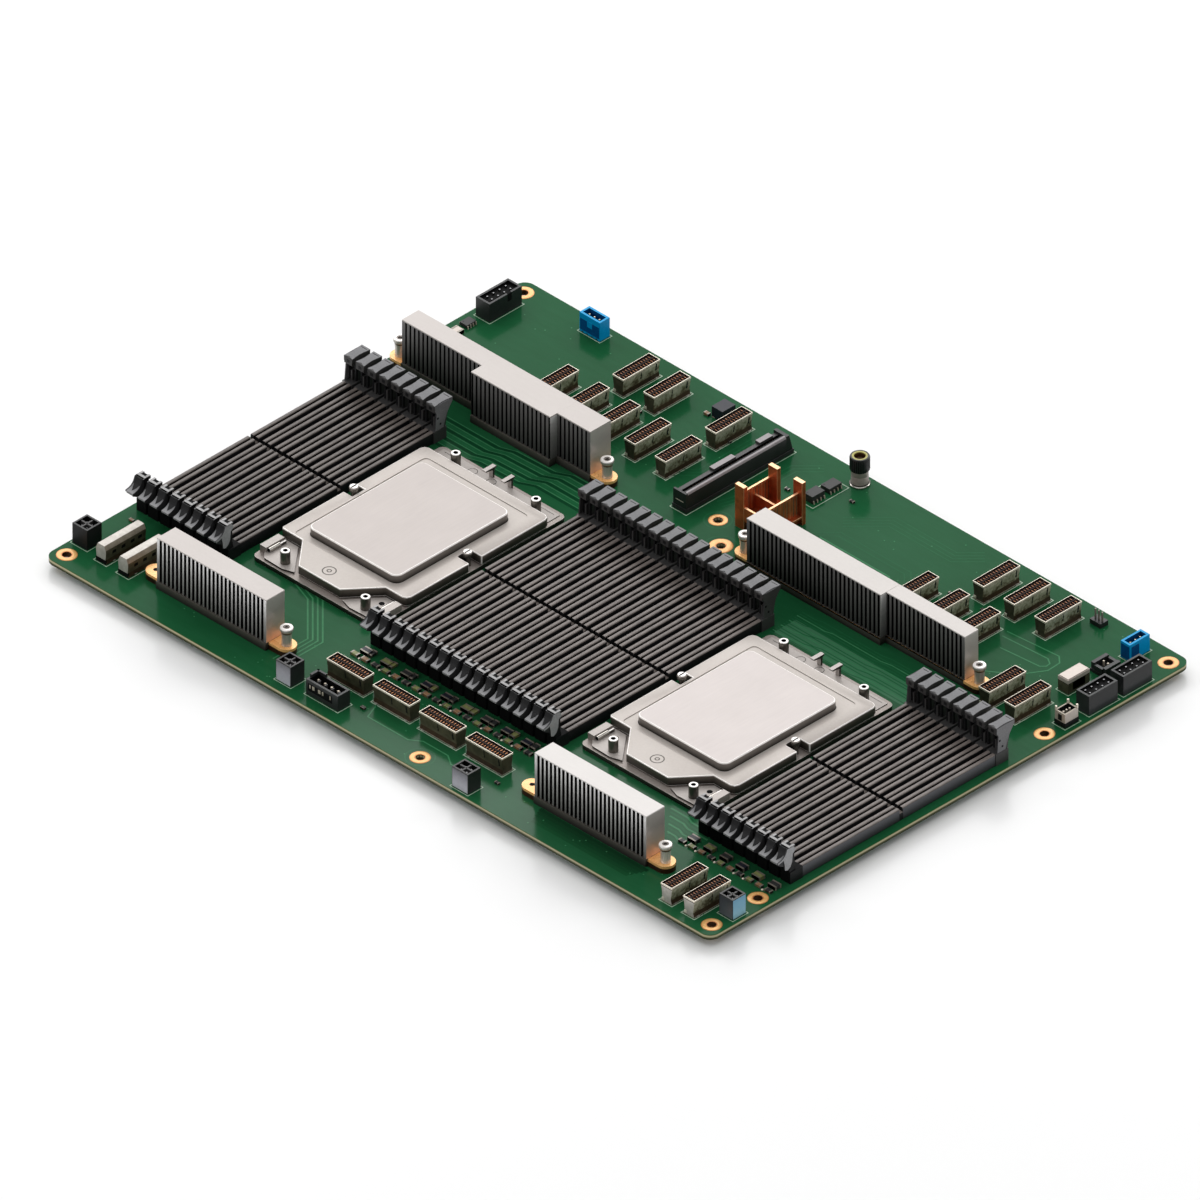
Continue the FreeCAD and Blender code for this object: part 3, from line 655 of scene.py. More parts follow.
def memory_socket(ridge):
    form = Shape()

    def channel(y0, y1, top):
        half = [(2.6, 0), (2.6, top - 0.5), (2.42, top - 0.12), (2.1, top), (1.05, top)]
        half += [(0.7, top - 0.12), (0.55, top - 0.5), (0.55, 2.2)]
        # Ridge tone on the tops and shoulders is painted light over the dark walls; the slot walls' black is
        # painted shade
        sides = ["plastic_dark"] + [ridge] * 5 + ["black"] * 3 + [ridge] * 5 + ["plastic_dark"] * 2
        form.prism(mirrored(half), "y", y0, y1, "plastic", "plastic_dark", sides)

    def latch(points, sign, w, mat, cap=None, sides=None):
        """Latch outline at the origin's end of the bank, drawn out across the socket."""
        form.prism([(sign * o, z) for o, z in points], "x", -w / 2, w / 2, mat, cap, sides)

    channel(BANK_FRONT + END_L, KEY_Y - KEY_HALF, SOCKET_H)
    channel(KEY_Y - KEY_HALF, KEY_Y + KEY_HALF, KEY_H)
    channel(KEY_Y + KEY_HALF, BANK_REAR - END_L, SOCKET_H)
    foot = [(-8.2, 0), (0, 0), (0, SOCKET_H), (-8.2, SOCKET_H)]

    # Front end: scoop with a painted dark hollow, and the tower behind it
    form.at(0, BANK_FRONT)
    # Faces under and beside the scoop in black: painted shade
    latch(foot, -1, 6.2, "plastic_dark", sides=["black"] * 3 + ["plastic"])
    sides = ["black"] * 4 + ["scoop"] * 5 + ["plastic_dark"] * 4 + ["black"] * 2
    latch(SCOOP, -1, 4.5, "plastic", "latch_side", sides)
    # The hollow is a thin dark V laid on the scoop's top: painted shade of its concave face
    hollow_shade = [(-1.7, -3, 17.1), (-1.2, -4, 16.2), (-0.55, -5.2, 15.6), (0, -6.3, 15.33)]
    hollow_shade += [(-x, y, z) for x, y, z in reversed(hollow_shade[:3])]
    form.wedge([(x, y, z + 0.08) for x, y, z in hollow_shade], 0.3, "plastic_dark")
    sides = ["black", "plastic_dark", "plastic", "pad", "plastic_dark", "black"]
    latch(TOWER, -1, 5.3, "plastic_dark", sides=sides)
    latch([(-4.2, 6.4), (-2.3, 6.4), (-2.3, 12), (-3, 12)], -1, 4.6, "plastic_dark")
    for x in (-2, 2):
        form.slab(x, 2.8, 1, 1, 6.4, 17.5, "plastic_dark")
        form.slab(x, 2.4, 1.3, 2.4, 18.6, 20.44, "plastic", "tower_top")
    form.slab(0, 0.4, 5.3, 1.5, 19.4, 20.44, "plastic", "tower_top")
    form.slab(0, 2.2, 2.4, 1.8, 19, 20.24, "black")

    # Rear end: stem with ribs, lip and waisted finger pad
    form.at(0, BANK_REAR)
    latch(foot, 1, 6.2, "plastic")
    latch(STEM, 1, 4.9, "plastic_dark", "plastic")
    for x in (-1.85, 1.85):
        form.slab(x, -3.95, 1.1, 1.3, 6.4, 15.6, "plastic_dark")
    form.slab(0, -4.25, 1, 1.9, 6.4, 12.2, "plastic")
    latch(LIP, 1, 5.1, "plastic")
    form.box(-1, 1, -7.48, -7, 17.4, 19.2, "plastic_dark")
    pad = mirrored(WAIST) + [(-1.4, -7.1), (0, -6.3), (1.4, -7.1)]
    form.prism(pad, "z", 18.3, 20.46, "plastic", "pad")
    form.box(-1.9, 1.9, 2.7, 3.2, 20.3, 20.5, "plastic_dark")
    form.box(-2.6, 2.6, 3.5, 4.4, 17.6, 18.6, "plastic_dark")
    return make_mesh("memory_socket", form)


# The left bank takes a shaded copy of the ridge tone: painted shade
mesh_left, mesh_right = memory_socket("ridge_left"), memory_socket("ridge")
for bank, centre, count in BANKS:
    for i, x in enumerate(columns(centre, count)):
        name = "memory_socket_%s_%d" % (bank, i + 1)
        mesh = mesh_left if bank == "left" else mesh_right
        place("card_" + name, mesh, [name], "socket_plastic", 0.28, x=x)

# Outer faces of each bank's end latches, lighter plates that paint them as lit faces, and the side faces of
# the outer banks, with painted shade on thin sheets
form = Shape()
for bank, centre, count in BANKS:
    # The side banks' rear faces take a lighter tone than the centre's: painted light
    rear_cap = "plastic" if bank == "centre" else "pad"
    for sign, x in zip((-1, 1), columns(centre, count)[::count - 1]):
        for points, edge, way, half, cap in ((FRONT_FACE, BANK_FRONT, -1, 2.65, "latch_light"),
                                             (REAR_FACE, BANK_REAR, 1, 2.75, rear_cap)):
            near, far = sorted((x + sign * (half - 0.6), x + sign * (half + 0.1)))
            form.prism([(edge + way * o, z) for o, z in points], "x", near, far, "latch_side", cap)
        for o, z in ((-5.4, 12.9), (-3.7, 9.2)):
            form.slab(x + sign * 2.86, BANK_REAR + o, 0.12, 1, z - 0.5, z + 0.5, "black")
for x in (-SIDE_X - 3.5 * PITCH - 2.6, SIDE_X + 3.5 * PITCH + 2.6):
    for y0, y1 in ((BANK_FRONT + 8.2, BANK_MID + 0.5), (BANK_MID + 2.8, BANK_REAR - 8.2)):
        form.box(x - 0.05, x + 0.05, y0, y1, 0.3, 5.9, "bank_side")
place("painted_latch_end_faces", form, slot="socket_plastic")


# Processor sockets, load frames and lids
def load_frame_outline():
    """Plate with a tongue at the front and a notch for a pin at each side."""
    half, near, far = FRAME_HALF, FRAME_NEAR, FRAME_FAR
    points = [(-half + 1, near), (-27, near), (-13.5, near - 16), (13.5, near - 16), (27, near)]
    points += [(half - 3, near), (half - 0.9, near + 0.9), (half, near + 3), (half, PIN_Y - 4)]
    points += [(33.6, PIN_Y - 4), (32.5, PIN_Y - 3), (32.5, PIN_Y + 3), (33.6, PIN_Y + 4), (half, PIN_Y + 4)]
    points += [(half, far - 3), (half - 0.9, far - 0.9), (half - 3, far)]
    points += [(-half + 3, far), (-half + 0.9, far - 0.9), (-half, far - 3)]
    points += [(-half, PIN_Y + 4), (-35.2, PIN_Y + 4), (-35.2, PIN_Y - 4), (-half, PIN_Y - 4)]
    return points + [(-half, near + 1)]


def socket_base(x):
    """Base plate with raised front corners and rolled clips at the rear."""
    form = Shape(x)
    rim = soft_rect(0, BASE_Y, BASE_W, BASE_L, 3)
    form.prism(rim, "z", 0, 2.4, "base_side", "steel_mid")
    form.slab(0, LID_Y, 68, 84, 2.3, 3, "plastic_dark")
    front, back = BASE_Y - BASE_L / 2, BASE_Y + BASE_L / 2
    for sign in (-1, 1):
        corner = [(37.5, 18.5), (37.5, 5.5), (33.5, 1.4), (22, 1), (15.6, 3), (28.6, 18.5)]
        corner = [(sign * a, front + b) for a, b in corner]
        form.prism(corner, "z", 2.3, 3.4, "steel_edge", "steel")
        form.slab(sign * 38, front + 11, 4, 12, 2.3, 6, "steel_mid", "steel")
        form.slab(sign * 35, front + 14.6, 0.9, 4.6, 3.3, 5, "steel_edge", "steel_bright")
        form.prism(circle(sign * 35.2, 4.5, 1.1, 16), "y", front + 6, front + 13, "chrome", "black")
        hole = "black" if sign > 0 else "steel_edge"
        form.lathe(sign * 30.5, front + 13.5, [(1.5, 3.4), (1.5, 3.44), (0, 3.44)], hole, 18)
    form.slab(0, back - 6.75, 75, 9.5, 2.3, 2.8, "steel_edge", "steel")
    y = back - 1.5
    bent = [(-1.2, 2.3), (0.1, 2.3), (0.1, 7), (1.3, 7.7), (1.3, 8.5), (-5.5, 8.5), (-5.5, 7.7)]
    bent += [(-1.2, 7.1)]
    sides = ["steel"] * 3 + ["lid"] * 2 + ["steel"] * 3
    for c in (-6.4, 5.6):
        form.prism([(y + a, z) for a, z in bent], "x", c - 1.15, c + 1.15, "steel", "steel_edge", sides)
        form.slab(c, y - 7.2, 4.4, 3, 2.78, 2.86, "steel_edge")
        form.lathe(c - 9, y - 4, [(2.6, 2.8), (2.6, 2.86), (2.1, 2.86), (2.1, 2.8)], "steel_edge", 24)
    for sign in (-1, 1):
        form.slab(sign * 31, back - 3.6, 9, 0.5, 2.78, 2.86, "steel_edge")
    return form


def load_plate(x):
    """Load frame with a window for the lid and a shallow step round it."""
    plate, window, step = Shape(x), Shape(x), Shape(x)
    plate.mat("plate")
    plate.prism(load_frame_outline(), "z", 3, 8, "frame_side", "plate")
    window.mat("plate")
    window.prism(soft_rect(0, LID_Y, 58.6, 75.1, 4.3), "z", 2, 9, "frame_side")
    step.prism(soft_rect(0, LID_Y + 1.5, 67, 86, 2.5), "z", 7.65, 9, "plate")
    mesh = cut(make_mesh("frame", plate), make_mesh("window", window))
    # Its bevels take a painted highlight
    return cut(mesh, make_mesh("step", step), 0.55, "steel_bright")


def processor_lid(x, mat):
    form = Shape(x)
    form.prism(soft_rect(0, LID_Y, 58, 74.5, 4, 8), "z", 3, 12, "lid_side", mat)
    return form


# Bevels of the bases, frames and lids take a painted highlight
for side, x in CPUS:
    place("socket_base_" + side, socket_base(x), ["cpu_socket_" + side], "frame_steel", 0.22,
          highlight_mat="steel_bright")
    place("load_plate_" + side, load_plate(x), ["load_frame_" + side], "frame_steel")
    marks = Shape(x - 0.5, FRAME_NEAR - 9)
    for r, n in ((2.9, 32), (0.7, 20)):
        ring = [(r, 7.97), (r + 0.6, 7.97), (r + 0.6, 8.02), (r, 8.02), (r, 7.97)]
        marks.lathe(0, 0, ring, "steel_edge", n)
    place("frame_ring_" + side, marks, slot="frame_steel")
    # The right lid takes a lit copy of the lid tone: painted light
    lid = processor_lid(x, "lid_right" if side == "right" else "lid")
    place("processor_lid_" + side, lid, ["processor_" + side], "lid_nickel", 0.65, 3,
          highlight_mat="steel_bright")

# Cooler posts and load frame pins
POST = [(0, 2.4), (2.35, 2.4), (2.4, 2.6), (2.4, 9.5), (2.3, 10), (2.1, 10.2), (1.2, 10.2), (1.05, 9.9)]
POST += [(1.05, 6), (0, 6)]
PIN = [(0, 2.4), (1.45, 2.4), (1.45, 6.8), (1.7, 7.2), (2.15, 7.6), (2.2, 7.8), (2.2, 9.6), (1.9, 10.2)]
PIN += [(0, 10.2)]
posts, pins = Shape(), Shape()
for _, x in CPUS:
    for px, py in POSTS:
        posts.lathe(x + px, py, POST, ["post_side"] * 4 + ["steel_bright"] * 2 + ["black"] * 3)
    for px in (x - 38.2, x + 35.5):
        pins.lathe(px, PIN_Y, PIN, ["post_side"] * 6 + ["steel", "steel_bright"])
        pins.slab(px, PIN_Y, 0.7, 3.4, 9.9, 10.26, "black")
place("cooler_posts_turned", posts, ["cooler_posts"], "screw_steel")
place("frame_pins_turned", pins, ["frame_pins"], "screw_steel")


# Heat sinks on copper bases
# Each sink: name, left and right end, the line that its y places count from, the front's steps as
# (start past the left end, y), rear, fin pitch, and the two tabs as (distance out past the end, y)
FIN_EDGE, TAB_R, NEAR = 1.3, 4.8, 0.01
FRONT_LINE = FRONT + 18.5
SINKS = (
    ("front_left", -CPU_X - 54.9, -CPU_X + 16.1, FRONT_LINE, [(0, 0)], 12, 2.6, (6.5, 6), (7, 6.2)),
    ("front_right", CPU_X - 23.7, CPU_X + 48.8, FRONT_LINE, [(0, 1)], 13, 2.6, (7, 6.5), (7, 6.5)),
    ("rear_left", LEFT + 11, -CPU_X + 25.9, BANK_REAR, [(0, 23.7), (51.8, 16.7), (103.1, 21.2)],
     34.5, 2.75, (5, 27.5), (6.2, 26)),
    ("rear_right", CPU_X - 87.4, CPU_X + 50.6, BANK_REAR, [(0, 23.2), (87, 26.7)],
     35.5, 2.75, (6.3, 28.5), (5.7, 30.5)),
)
SCREW = [(0, 0), (2.5, 0), (2.4, 0.4), (2.4, 4.6), (2.6, 6.6), (2.8, 7.4), (3, 7.7), (3.2, 8), (3.2, 9.2)]
SCREW += [(3, 9.6), (1.7, 9.6), (1.5, 9.4), (1.1, 9.4), (0.9, 9), (0, 9)]
SCREW_MATS = ["screw_side"] * 4 + ["steel_edge"] * 2 + ["screw_side"] * 2 + ["steel_bright"] * 2
SCREW_MATS += ["steel_edge", "steel_mid"] + ["steel_edge"] * 2


def fin_block(name, x0, x1, fronts, back, pitch):
    """Fins under a closed roof, with painted shade on the walls between them and on a dark core behind the
    slots.
    """
    form = Shape()
    rear = name.startswith("rear")
    # The rear sinks' fins take a shaded copy of the fin tone: painted shade
    face, share, outer = ("fin_rear", 0.4, "fin_end_rear") if rear else ("fin", 0.5, "fin_end")
    # The right sinks' roofs take lit copies of the roof tone: painted light
    roof = "fin_top_" + name if name.endswith("right") else "fin_top"
    run = x1 - x0 - 2 * FIN_EDGE
    count = int(run / pitch)
    step = run / count
    for left, right, front in fronts:
        edges = [left]
        for i in range(count):
            slot = x0 + FIN_EDGE + i * step + step * (0.5 - share / 2)
            if left - NEAR <= slot and slot + step * share <= right + NEAR:
                edges += [slot, slot + step * share]
        edges.append(right)
        for a, b in zip(edges[::2], edges[1::2]):
            end_b = outer if b >= x1 - NEAR else "fin" if b >= right - NEAR else "fin_slot"
            end_a = outer if a <= x0 + NEAR else "fin" if a <= left + NEAR else "fin_slot"
            corners = [(a, front), (b, front), (b, back), (a, back)]
            form.prism(corners, "z", SINK_BASE_H, FIN_H, face, sides=[face, end_b, face, end_a])
        form.box(left, right, front, back, FIN_H - 0.1, SINK_H, roof)
        # Dark core behind the slots: painted shade
        form.box(left + 0.6, right - 0.6, front + 3.2, back - 3.2, SINK_BASE_H, FIN_H - 0.1, "fin_slot")
    return form


bases, screws = Shape(), Shape()
screw_places = []
for name, x0, x1, line, steps, depth, pitch, *tabs in SINKS:
    back = line + depth
    starts = [x0 + start for start, _ in steps]
    fronts = [(a, b, line + y) for a, b, (_, y) in zip(starts, starts[1:] + [x1], steps)]
    place("fins_" + name, fin_block(name, x0, x1, fronts, back, pitch), ["heat_sink_" + name],
          "fin_aluminium", 0.14, 1)
    for left, right, front in fronts:
        bases.box(left, right, front - 0.6, back, 0, SINK_BASE_H, "base_dark")
        if name == "rear_right":
            bases.box(left, right, front - 0.6, front - 0.3, 3.2, SINK_BASE_H, "tab")
    for sign, root, (out, along) in zip((-1, 1), (x0, x1), tabs):
        x, y = root + sign * out, line + along
        turns = [radians(t) for t in range(-90, 91, 15)]
        tip = [(x + sign * TAB_R * cos(a), y + TAB_R * sin(a)) for a in turns]
        tab = [(root, y - TAB_R)] + tip + [(root, y + TAB_R)]
        # The tab's lower part in dark copper under its light top: painted shade on its sides
        bases.prism(tab, "z", 0, 2.6, "copper_dark")
        bases.prism(tab, "z", 2.6, SINK_BASE_H, "tab")
        if name.startswith("front") and sign < 0:
            bases.lathe(x, y, [(1.3, 4), (1.3, 4.03), (0, 4.03)], "black", 20)
        else:
            screws.lathe(x, y, [(r, SINK_BASE_H + z) for r, z in SCREW], SCREW_MATS, 32)
            screw_places.append((x, y))
place("copper_bases", bases, ["sink_bases"], "copper", 0.25)
place("spring_screws", screws, ["sink_screws"], "screw_steel")


# Slim shielded sockets with two rows of contacts
def slim(form, x, y, along_y, ends):
    part = Shape(base=0)
    half = [(3.4, 0), (3.3, 1), (2.85, 2.4), (3.1, 5), (3.5, 7.6), (3.5, 8.3)]
    sides = ["shell_low"] * 2 + ["shell" if along_y else "shell_front"] * 3
    sides += ["contact_bed"] + ["shell"] * 3 + ["shell_low"] * 3
    part.prism(mirrored(half), "y", -11.8, 11.8, "shell", ends, sides)
    part.tray(SLIM_W, SLIM_L, 8.6, 9.6, 0.46, 8.7, "rim", "rim", "contact_bed", "contact_bed")
    part.slab(0, 0, 0.7, 22.4, 8.6, 9.3, "contact_bed")
    for k in range(13):
        for side in (-1, 1):
            y_contact = -9.9 + k * 1.65 + side * 0.2
            part.slab(side * 1.45, y_contact, 1.6, 0.5, 8.6, 9.2, "contact_bed", "contact")
    for c in (-9.5, 9.5):
        for side in (-3.6, 3.6):
            part.slab(side, c, 1, 1.8, 0, 0.5, "solder")
    for c, w in ((0, 0.6), (9.6, 0.9)):
        part.slab(0, c, 7.08, w, 6, 8.2, "plastic_dark")
        part.slab(0, c, 6.52, w, 4.2, 6.2, "plastic_dark")
    part.slab(0, 0, 7.24, SLIM_L, 0, 0.35, "shell_pale")
    part.box(-3, -1.4, -12, -11.5, 0.6, 2, "rim")
    turned = [(a, b, c) if along_y else (b, -a, c) for a, b, c in part.verts]
    form.at(x, y).add(turned, part.faces, [part.names[m] for m in part.mats])
    outline(form, *((SLIM_W, SLIM_L) if along_y else (SLIM_L, SLIM_W)), 0.6, 0.5)


near, far = BANK_REAR + 59.2, REAR - 22.8
left = [-CPU_X - 34.8 + 20 * i for i in range(5)]
right = [CPU_X - 13.9 + 20 * i for i in range(4)]
SLIMS = {
    "rear_left": [(x, near, True) for x in left] + [(left[i], far, True) for i in (1, 2, 4)],
    "rear_right": [(x, near, True) for x in right[:3]] + [(x, far, True) for x in right[1:]]
    + [(RIGHT - d, BANK_REAR + 34, True) for d in (42.1, 25.6)],
    "front": [(-44.8 + 30 * i, FRONT + 27.6, False) for i in range(4)]
    + [(RIGHT - d, FRONT + 17.6, True) for d in (34.1, 19.6)],
}
for name, spots in SLIMS.items():
    form = Shape()
    for x, y, along_y in spots:
        # Front-row sockets along y take pale silver ends, a lit copy of the end tone: painted light
        slim(form, x, y, along_y, "shell_silver" if name == "front" and along_y else "shell_end")
    place("cable_sockets_" + name, form, ["slim_sockets_" + name], "shell_metal", 0.12, 1)

# Closed shells, the pale-topped can and the small connector
form = Shape()
half = [(3.4, 0), (3.3, 1), (2.9, 2.4), (3.25, 6.6), (3.1, 7.6), (2.1, 9.9), (1.6, 10)]
sides = ["shell_low"] * 2 + ["shell_front"] * 2 + ["shell_pale"] + ["shell_silver"] * 3 + ["shell"]
sides += ["shell_low"] * 5
for x, y, length in ((LEFT + 22.4, FRONT + 27.7, 26), (LEFT + 37, FRONT + 27, 25)):
    form.at(x, y).prism(mirrored(half), "y", -length / 2, length / 2, "shell", "shell_silver", sides)
    for c in (-0.28, -0.05, 0.18, 0.36):
        form.box(2.6, 3.2, c * length - 1.4, c * length + 1, 4.4, 6.2, "black")
    for c in (-0.3, 0.3):
        form.slab(0, c * length, 7, 1.6, 0, 0.6, "solder")
    form.box(-3.3, 3.3, -length / 2 - 0.08, -length / 2 + 0.5, 0, 2.4, "black")
    outline(form, 7, length)
form.at(RIGHT - 24.6, BANK_REAR + 62.8).slab(0, 0, 6.7, 14, 0, 5.4, "shell_front", "black")
form.slab(0, 0, 6.4, 13.6, 5.3, 5.8, "black")
form.slab(0, 0, 6.7, 14, 5.7, 7.7, "white_top")
form.slab(0, 0, 6, 13.2, 7.6, 8.2, "white_top")
form.box(3.2, 3.35, -4, 4, 1.2, 5.6, "plastic_dark")
outline(form, 6.7, 14)
form.at(RIGHT - 6.5, BANK_REAR + 40).slab(0, 0, 7, 9, 0, 2.6, "plastic_dark")
form.tray(6.6, 8.6, 2.5, 7.6, 0.8, 4, "white_top", "shell_pale", "plastic_dark", "black")
for cx, cy in ((-2.9, -3.9), (-2.9, 3.9), (2.9, 3.9)):
    form.slab(cx, cy, 0.9, 0.9, 7.5, 9.5, "rim")
for c in (-2, 0, 2):
    form.slab(0, c, 0.8, 0.8, 3.9, 7, "tin")
form.slab(0, -4.3, 2.4, 0.3, 3.2, 6.4, "plastic_dark")
outline(form, 7, 9)
place("shell_connectors", form, ["shielded_sockets"], "shell_metal", 0.2)


# Headers
PIN_FOOT = 2.9


def grid(nx, ny, px, py):
    return [((i - (nx - 1) / 2) * px, (j - (ny - 1) / 2) * py) for i in range(nx) for j in range(ny)]


def header(form, x, y, wx, wy, h, spots=(), body="header", rim=None, bed="black", wall=1.2,
           bed_z=3, pins="tin", pin_drop=1.2):
    """Open box with pins, and its printed outline. The origin is left at its middle."""
    form.at(x, y).tray(wx, wy, 0, h, wall, bed_z, body, rim or body, bed, bed)
    for px, py in spots:
        form.slab(px, py, 0.8, 0.8, PIN_FOOT, h - pin_drop, bed, pins)
    outline(form, wx, wy)


form = Shape()
cubes = [(LEFT + 6.5, FRONT + 21.6, 9.6, 9.6), (-66.2, FRONT + 10, 9.6, 9), (51.5, FRONT + 6.5, 10.4, 8.4)]
cubes += [(RIGHT - 6.9, FRONT + 21.4, 8.8, 8.6)]
for k, (x, y, wx, wy) in enumerate(cubes):
    # Walls of all but the first take a tone graded by height: painted shade
    body, rim, pins = ("header_side", "plastic", "latch_light") if k else ("plastic_dark", "header", "pad")
    header(form, x, y, wx, wy, 11, body=body, rim=rim, wall=1)
    form.slab(0, 0, wx - 2, 0.9, PIN_FOOT, 10.6, "plastic")
    form.slab(0, 0, 0.9, wy - 2, PIN_FOOT, 10.6, "plastic")
    for px, py in grid(2, 2, wx * 0.34, wy * 0.34):
        form.slab(px, py, 0.8, 0.8, PIN_FOOT, 9.6, "plastic", pins)
    # Sheets on the front faces: painted light, and on the last header painted shade that darkens upwards
    if k:
        face = "header_slate" if k == 3 else "header_face"
        form.box(-wx / 2 + 0.3, wx / 2 - 0.3, -wy / 2 - 0.08, -wy / 2 + 0.1, 0.3, 10.5, face)
# Pale blue sheet on the right face of the last header: painted light
form.box(4.3, 4.48, -4.1, 4.1, 0.3, 10.6, "blue_pale")
QUAD = {"spots": grid(2, 4, 3, 4), "pins": "latch_light", "pin_drop": 0.5}
header(form, LEFT + 8.5, REAR - 25.5, 9, 21, 10.2, bed_z=8.8, **QUAD)
form.box(3.25, 4.56, 1.22, 3.82, 6, 10.25, "black")
for d in (54.5, 32.2):
    header(form, RIGHT - 6.8, REAR - d, 8.4, 18.6, 10.6, body="header_side", rim="header", bed_z=9.2, **QUAD)
place("power_header_housings", form, ["power_headers"], "header_plastic", 0.18)

form = Shape()
header(form, -42.7, FRONT + 11, 20.6, 8, 8.4)
for c in (-6.5, -2.2, 2.1, 6.4):
    form.slab(c, 0.4, 1, 1, PIN_FOOT, 7.6, "tin")
    form.slab(c + 1.6, -0.6, 0.7, 1.6, PIN_FOOT, 8, "plastic")
form.box(-10.3, -8.9, -1.5, 4, 8.3, 10, "header")
form.box(-10.3, -4.5, 2.8, 4, 8.3, 10, "header")
form.box(-9, 6.6, -4.08, -3.9, 2.6, 6.6, "black")
for c, w in ((-7.6, 0.7), (-5.4, 1.5), (-1.6, 1.6), (0.6, 1), (5.4, 0.7)):
    form.box(c - w / 2, c + w / 2, -4.16, -3.85, 4.2, 6.2, "tin")
BLUE = {"body": "blue", "rim": "blue_rim", "bed": "blue_dark"}
header(form, LEFT + 52.9, REAR - 7.8, 13.2, 6.5, 10.4, grid(3, 1, 3.2, 0), **BLUE)
for c in (-4.6, -1.6, 1.6, 4.6):
    form.box(c - 0.5, c + 0.5, -3.25, -2.6, 0, 0.8, "tin")
form.box(-6.2, 6.2, -3.31, -3.1, 1.2, 7.4, "blue_dark")
form.box(-1.6, 1.6, -3.37, -3.05, 4.4, 7.6, "blue")
header(form, RIGHT - 23, REAR - 13.5, 6, 13, 9, grid(1, 3, 0, 3.2), **BLUE)
form.box(-2.7, 2.7, -6.56, -6.4, 0.4, 7.8, "blue_dark")
form.box(2.8, 3.06, -5.4, -0.4, 0.4, 7.4, "blue_dark")
place("wafer_header_housings", form, ["wafer_headers"], "wafer_plastic", 0.2)

# Expansion slot: low left wall with two pads, bright ridge along the right wall
x, y, length = -35.7, BANK_REAR + 34, REAR - 10.5 - BANK_REAR - 34
form = Shape(x, y)
form.box(-4.6, 4.6, 0, length, 0, 2.2, "header")
section = [(4.2, 2.1), (4.2, 9.6), (3.7, 10.6), (2.7, 10.7), (0.9, 9.8), (0.9, 3.2), (-0.9, 3.2), (-0.9, 9.6)]
section += [(-3.4, 9.4), (-4.2, 8.6), (-4.2, 2.1)]
sides = ["header"] + ["slot_pad"] * 2 + ["header"] + ["black"] * 3 + ["plastic"] * 2 + ["header"] * 2
form.prism(section, "y", 1.5, length - 4.5, "header", sides=sides)
form.box(-4.2, 4.2, 0.3, 1.6, 2.1, 10.5, "header")
slope = [(length - 4.6, 2.1), (length - 0.4, 2.1), (length - 2.6, 10.7), (length - 4.6, 10.7)]
form.prism(slope, "x", -4.2, 4.2, "header")
form.box(-2.6, 2.6, 0.2, 0.5, 5.2, 5.7, "tin")
for near, far in ((23.7, 38), (53.5, 62)):
    form.slab(-2.6, (near + far) / 2, 3.1, far - near, 9.2, 10.7, "plastic", "slot_pad")
for k in range(30):
    for side in (-0.75, 0.75):
        form.slab(side, 8 + k * 1.9, 0.32, 0.6, 4, 8.6, "copper_dark")
outline(form.at(x, y + length / 2), 9.2, length)
place("card_slot", form, ["expansion_slot"], "header_plastic", 0.25)

# Copper clip with three posts, its tops and bevels in a painted highlight
width, depth = 22, 24
mid, wall = depth / 2, width - 3.6
form = Shape(-9, BANK_REAR + 43.5)
for x, y in ((2.9, 1.2), (2.9, depth - 1.2), (width - 2.9, depth - 1.2)):
    form.slab(x, y, 5.8, 2.4, 0, 23.5, "copper", "copper_pale")
for x in (0, wall):
    form.slab(x + 0.7, mid, 1.2, 23, 0, 17, "copper", "copper_pale")
    for k in range(9):
        form.slab(x + 1.22, 3.6 + k * 2.1, 0.24, 0.7, 5.4, 16.2, "copper_dark" if k % 3 else "copper")
for y in (0.8, mid):
    form.slab(wall / 2 + 0.6, y, wall + 0.8, 1.2, 3.8, 12.5, "copper", "copper_pale")
form.slab(width / 2, mid, width - 0.2, 23.6, 3.9, 5, "copper")
place("power_clip", form, ["copper_clip"], "copper", 0.22, highlight_mat="copper_pale")

# Capped standoff with a fluted cap
form = Shape(8, REAR - 7)
foot = [(0, 0), (4.8, 0), (4.9, 0.2), (4.9, 0.9), (4.6, 1.2), (4.15, 1.3), (4.1, 1.6), (4.1, 5.2)]
foot += [(3.95, 5.5), (4.1, 5.8), (4.1, 8.7), (0, 8.7)]
form.lathe(0, 0, foot, ["chrome"] * 4 + ["steel_edge"] * 2 + ["steel_mid"] * 5, 40)
# The cap's bore takes the dark barrel tone: painted shade
cap = [(0, 8.6), (4.6, 8.6), (4.7, 8.8), (4.7, 15.5), (4.5, 15.9), (4.2, 16), (3.7, 15.9), (2.8, 15.9)]
cap += [(2.6, 15.6), (2.6, 13.4), (1.2, 12.6), (0, 12.6)]
form.lathe(0, 0, cap, ["header"] * 6 + ["brass"] * 2 + ["barrel"] * 2 + ["brass"], 40)
for x, y in circle(0, 0, 4.62, 28):
    form.lathe(x, y, [(0, 9), (0.18, 9), (0.18, 15.2), (0, 15.2)], "black", 6)
place("standoff_turned", form, ["capped_standoff"], "standoff_metal")

# Chips, passives and the pin header
CAP_SHARE = 0.22


def passive(form, x, y, wx, wy, h, body, along_x=True):
    """Small block with a metal cap at each end."""
    form.at(x, y).slab(0, 0, wx, wy, 0.05, h, body)
    for side in (CAP_SHARE / 2 - 0.5, 0.5 - CAP_SHARE / 2):
        if along_x:
            form.slab(side * wx, 0, wx * CAP_SHARE, wy + 0.16, 0, h + 0.06, "cap_metal")
        else:
            form.slab(0, side * wy, wx + 0.16, wy * CAP_SHARE, 0, h + 0.06, "cap_metal")


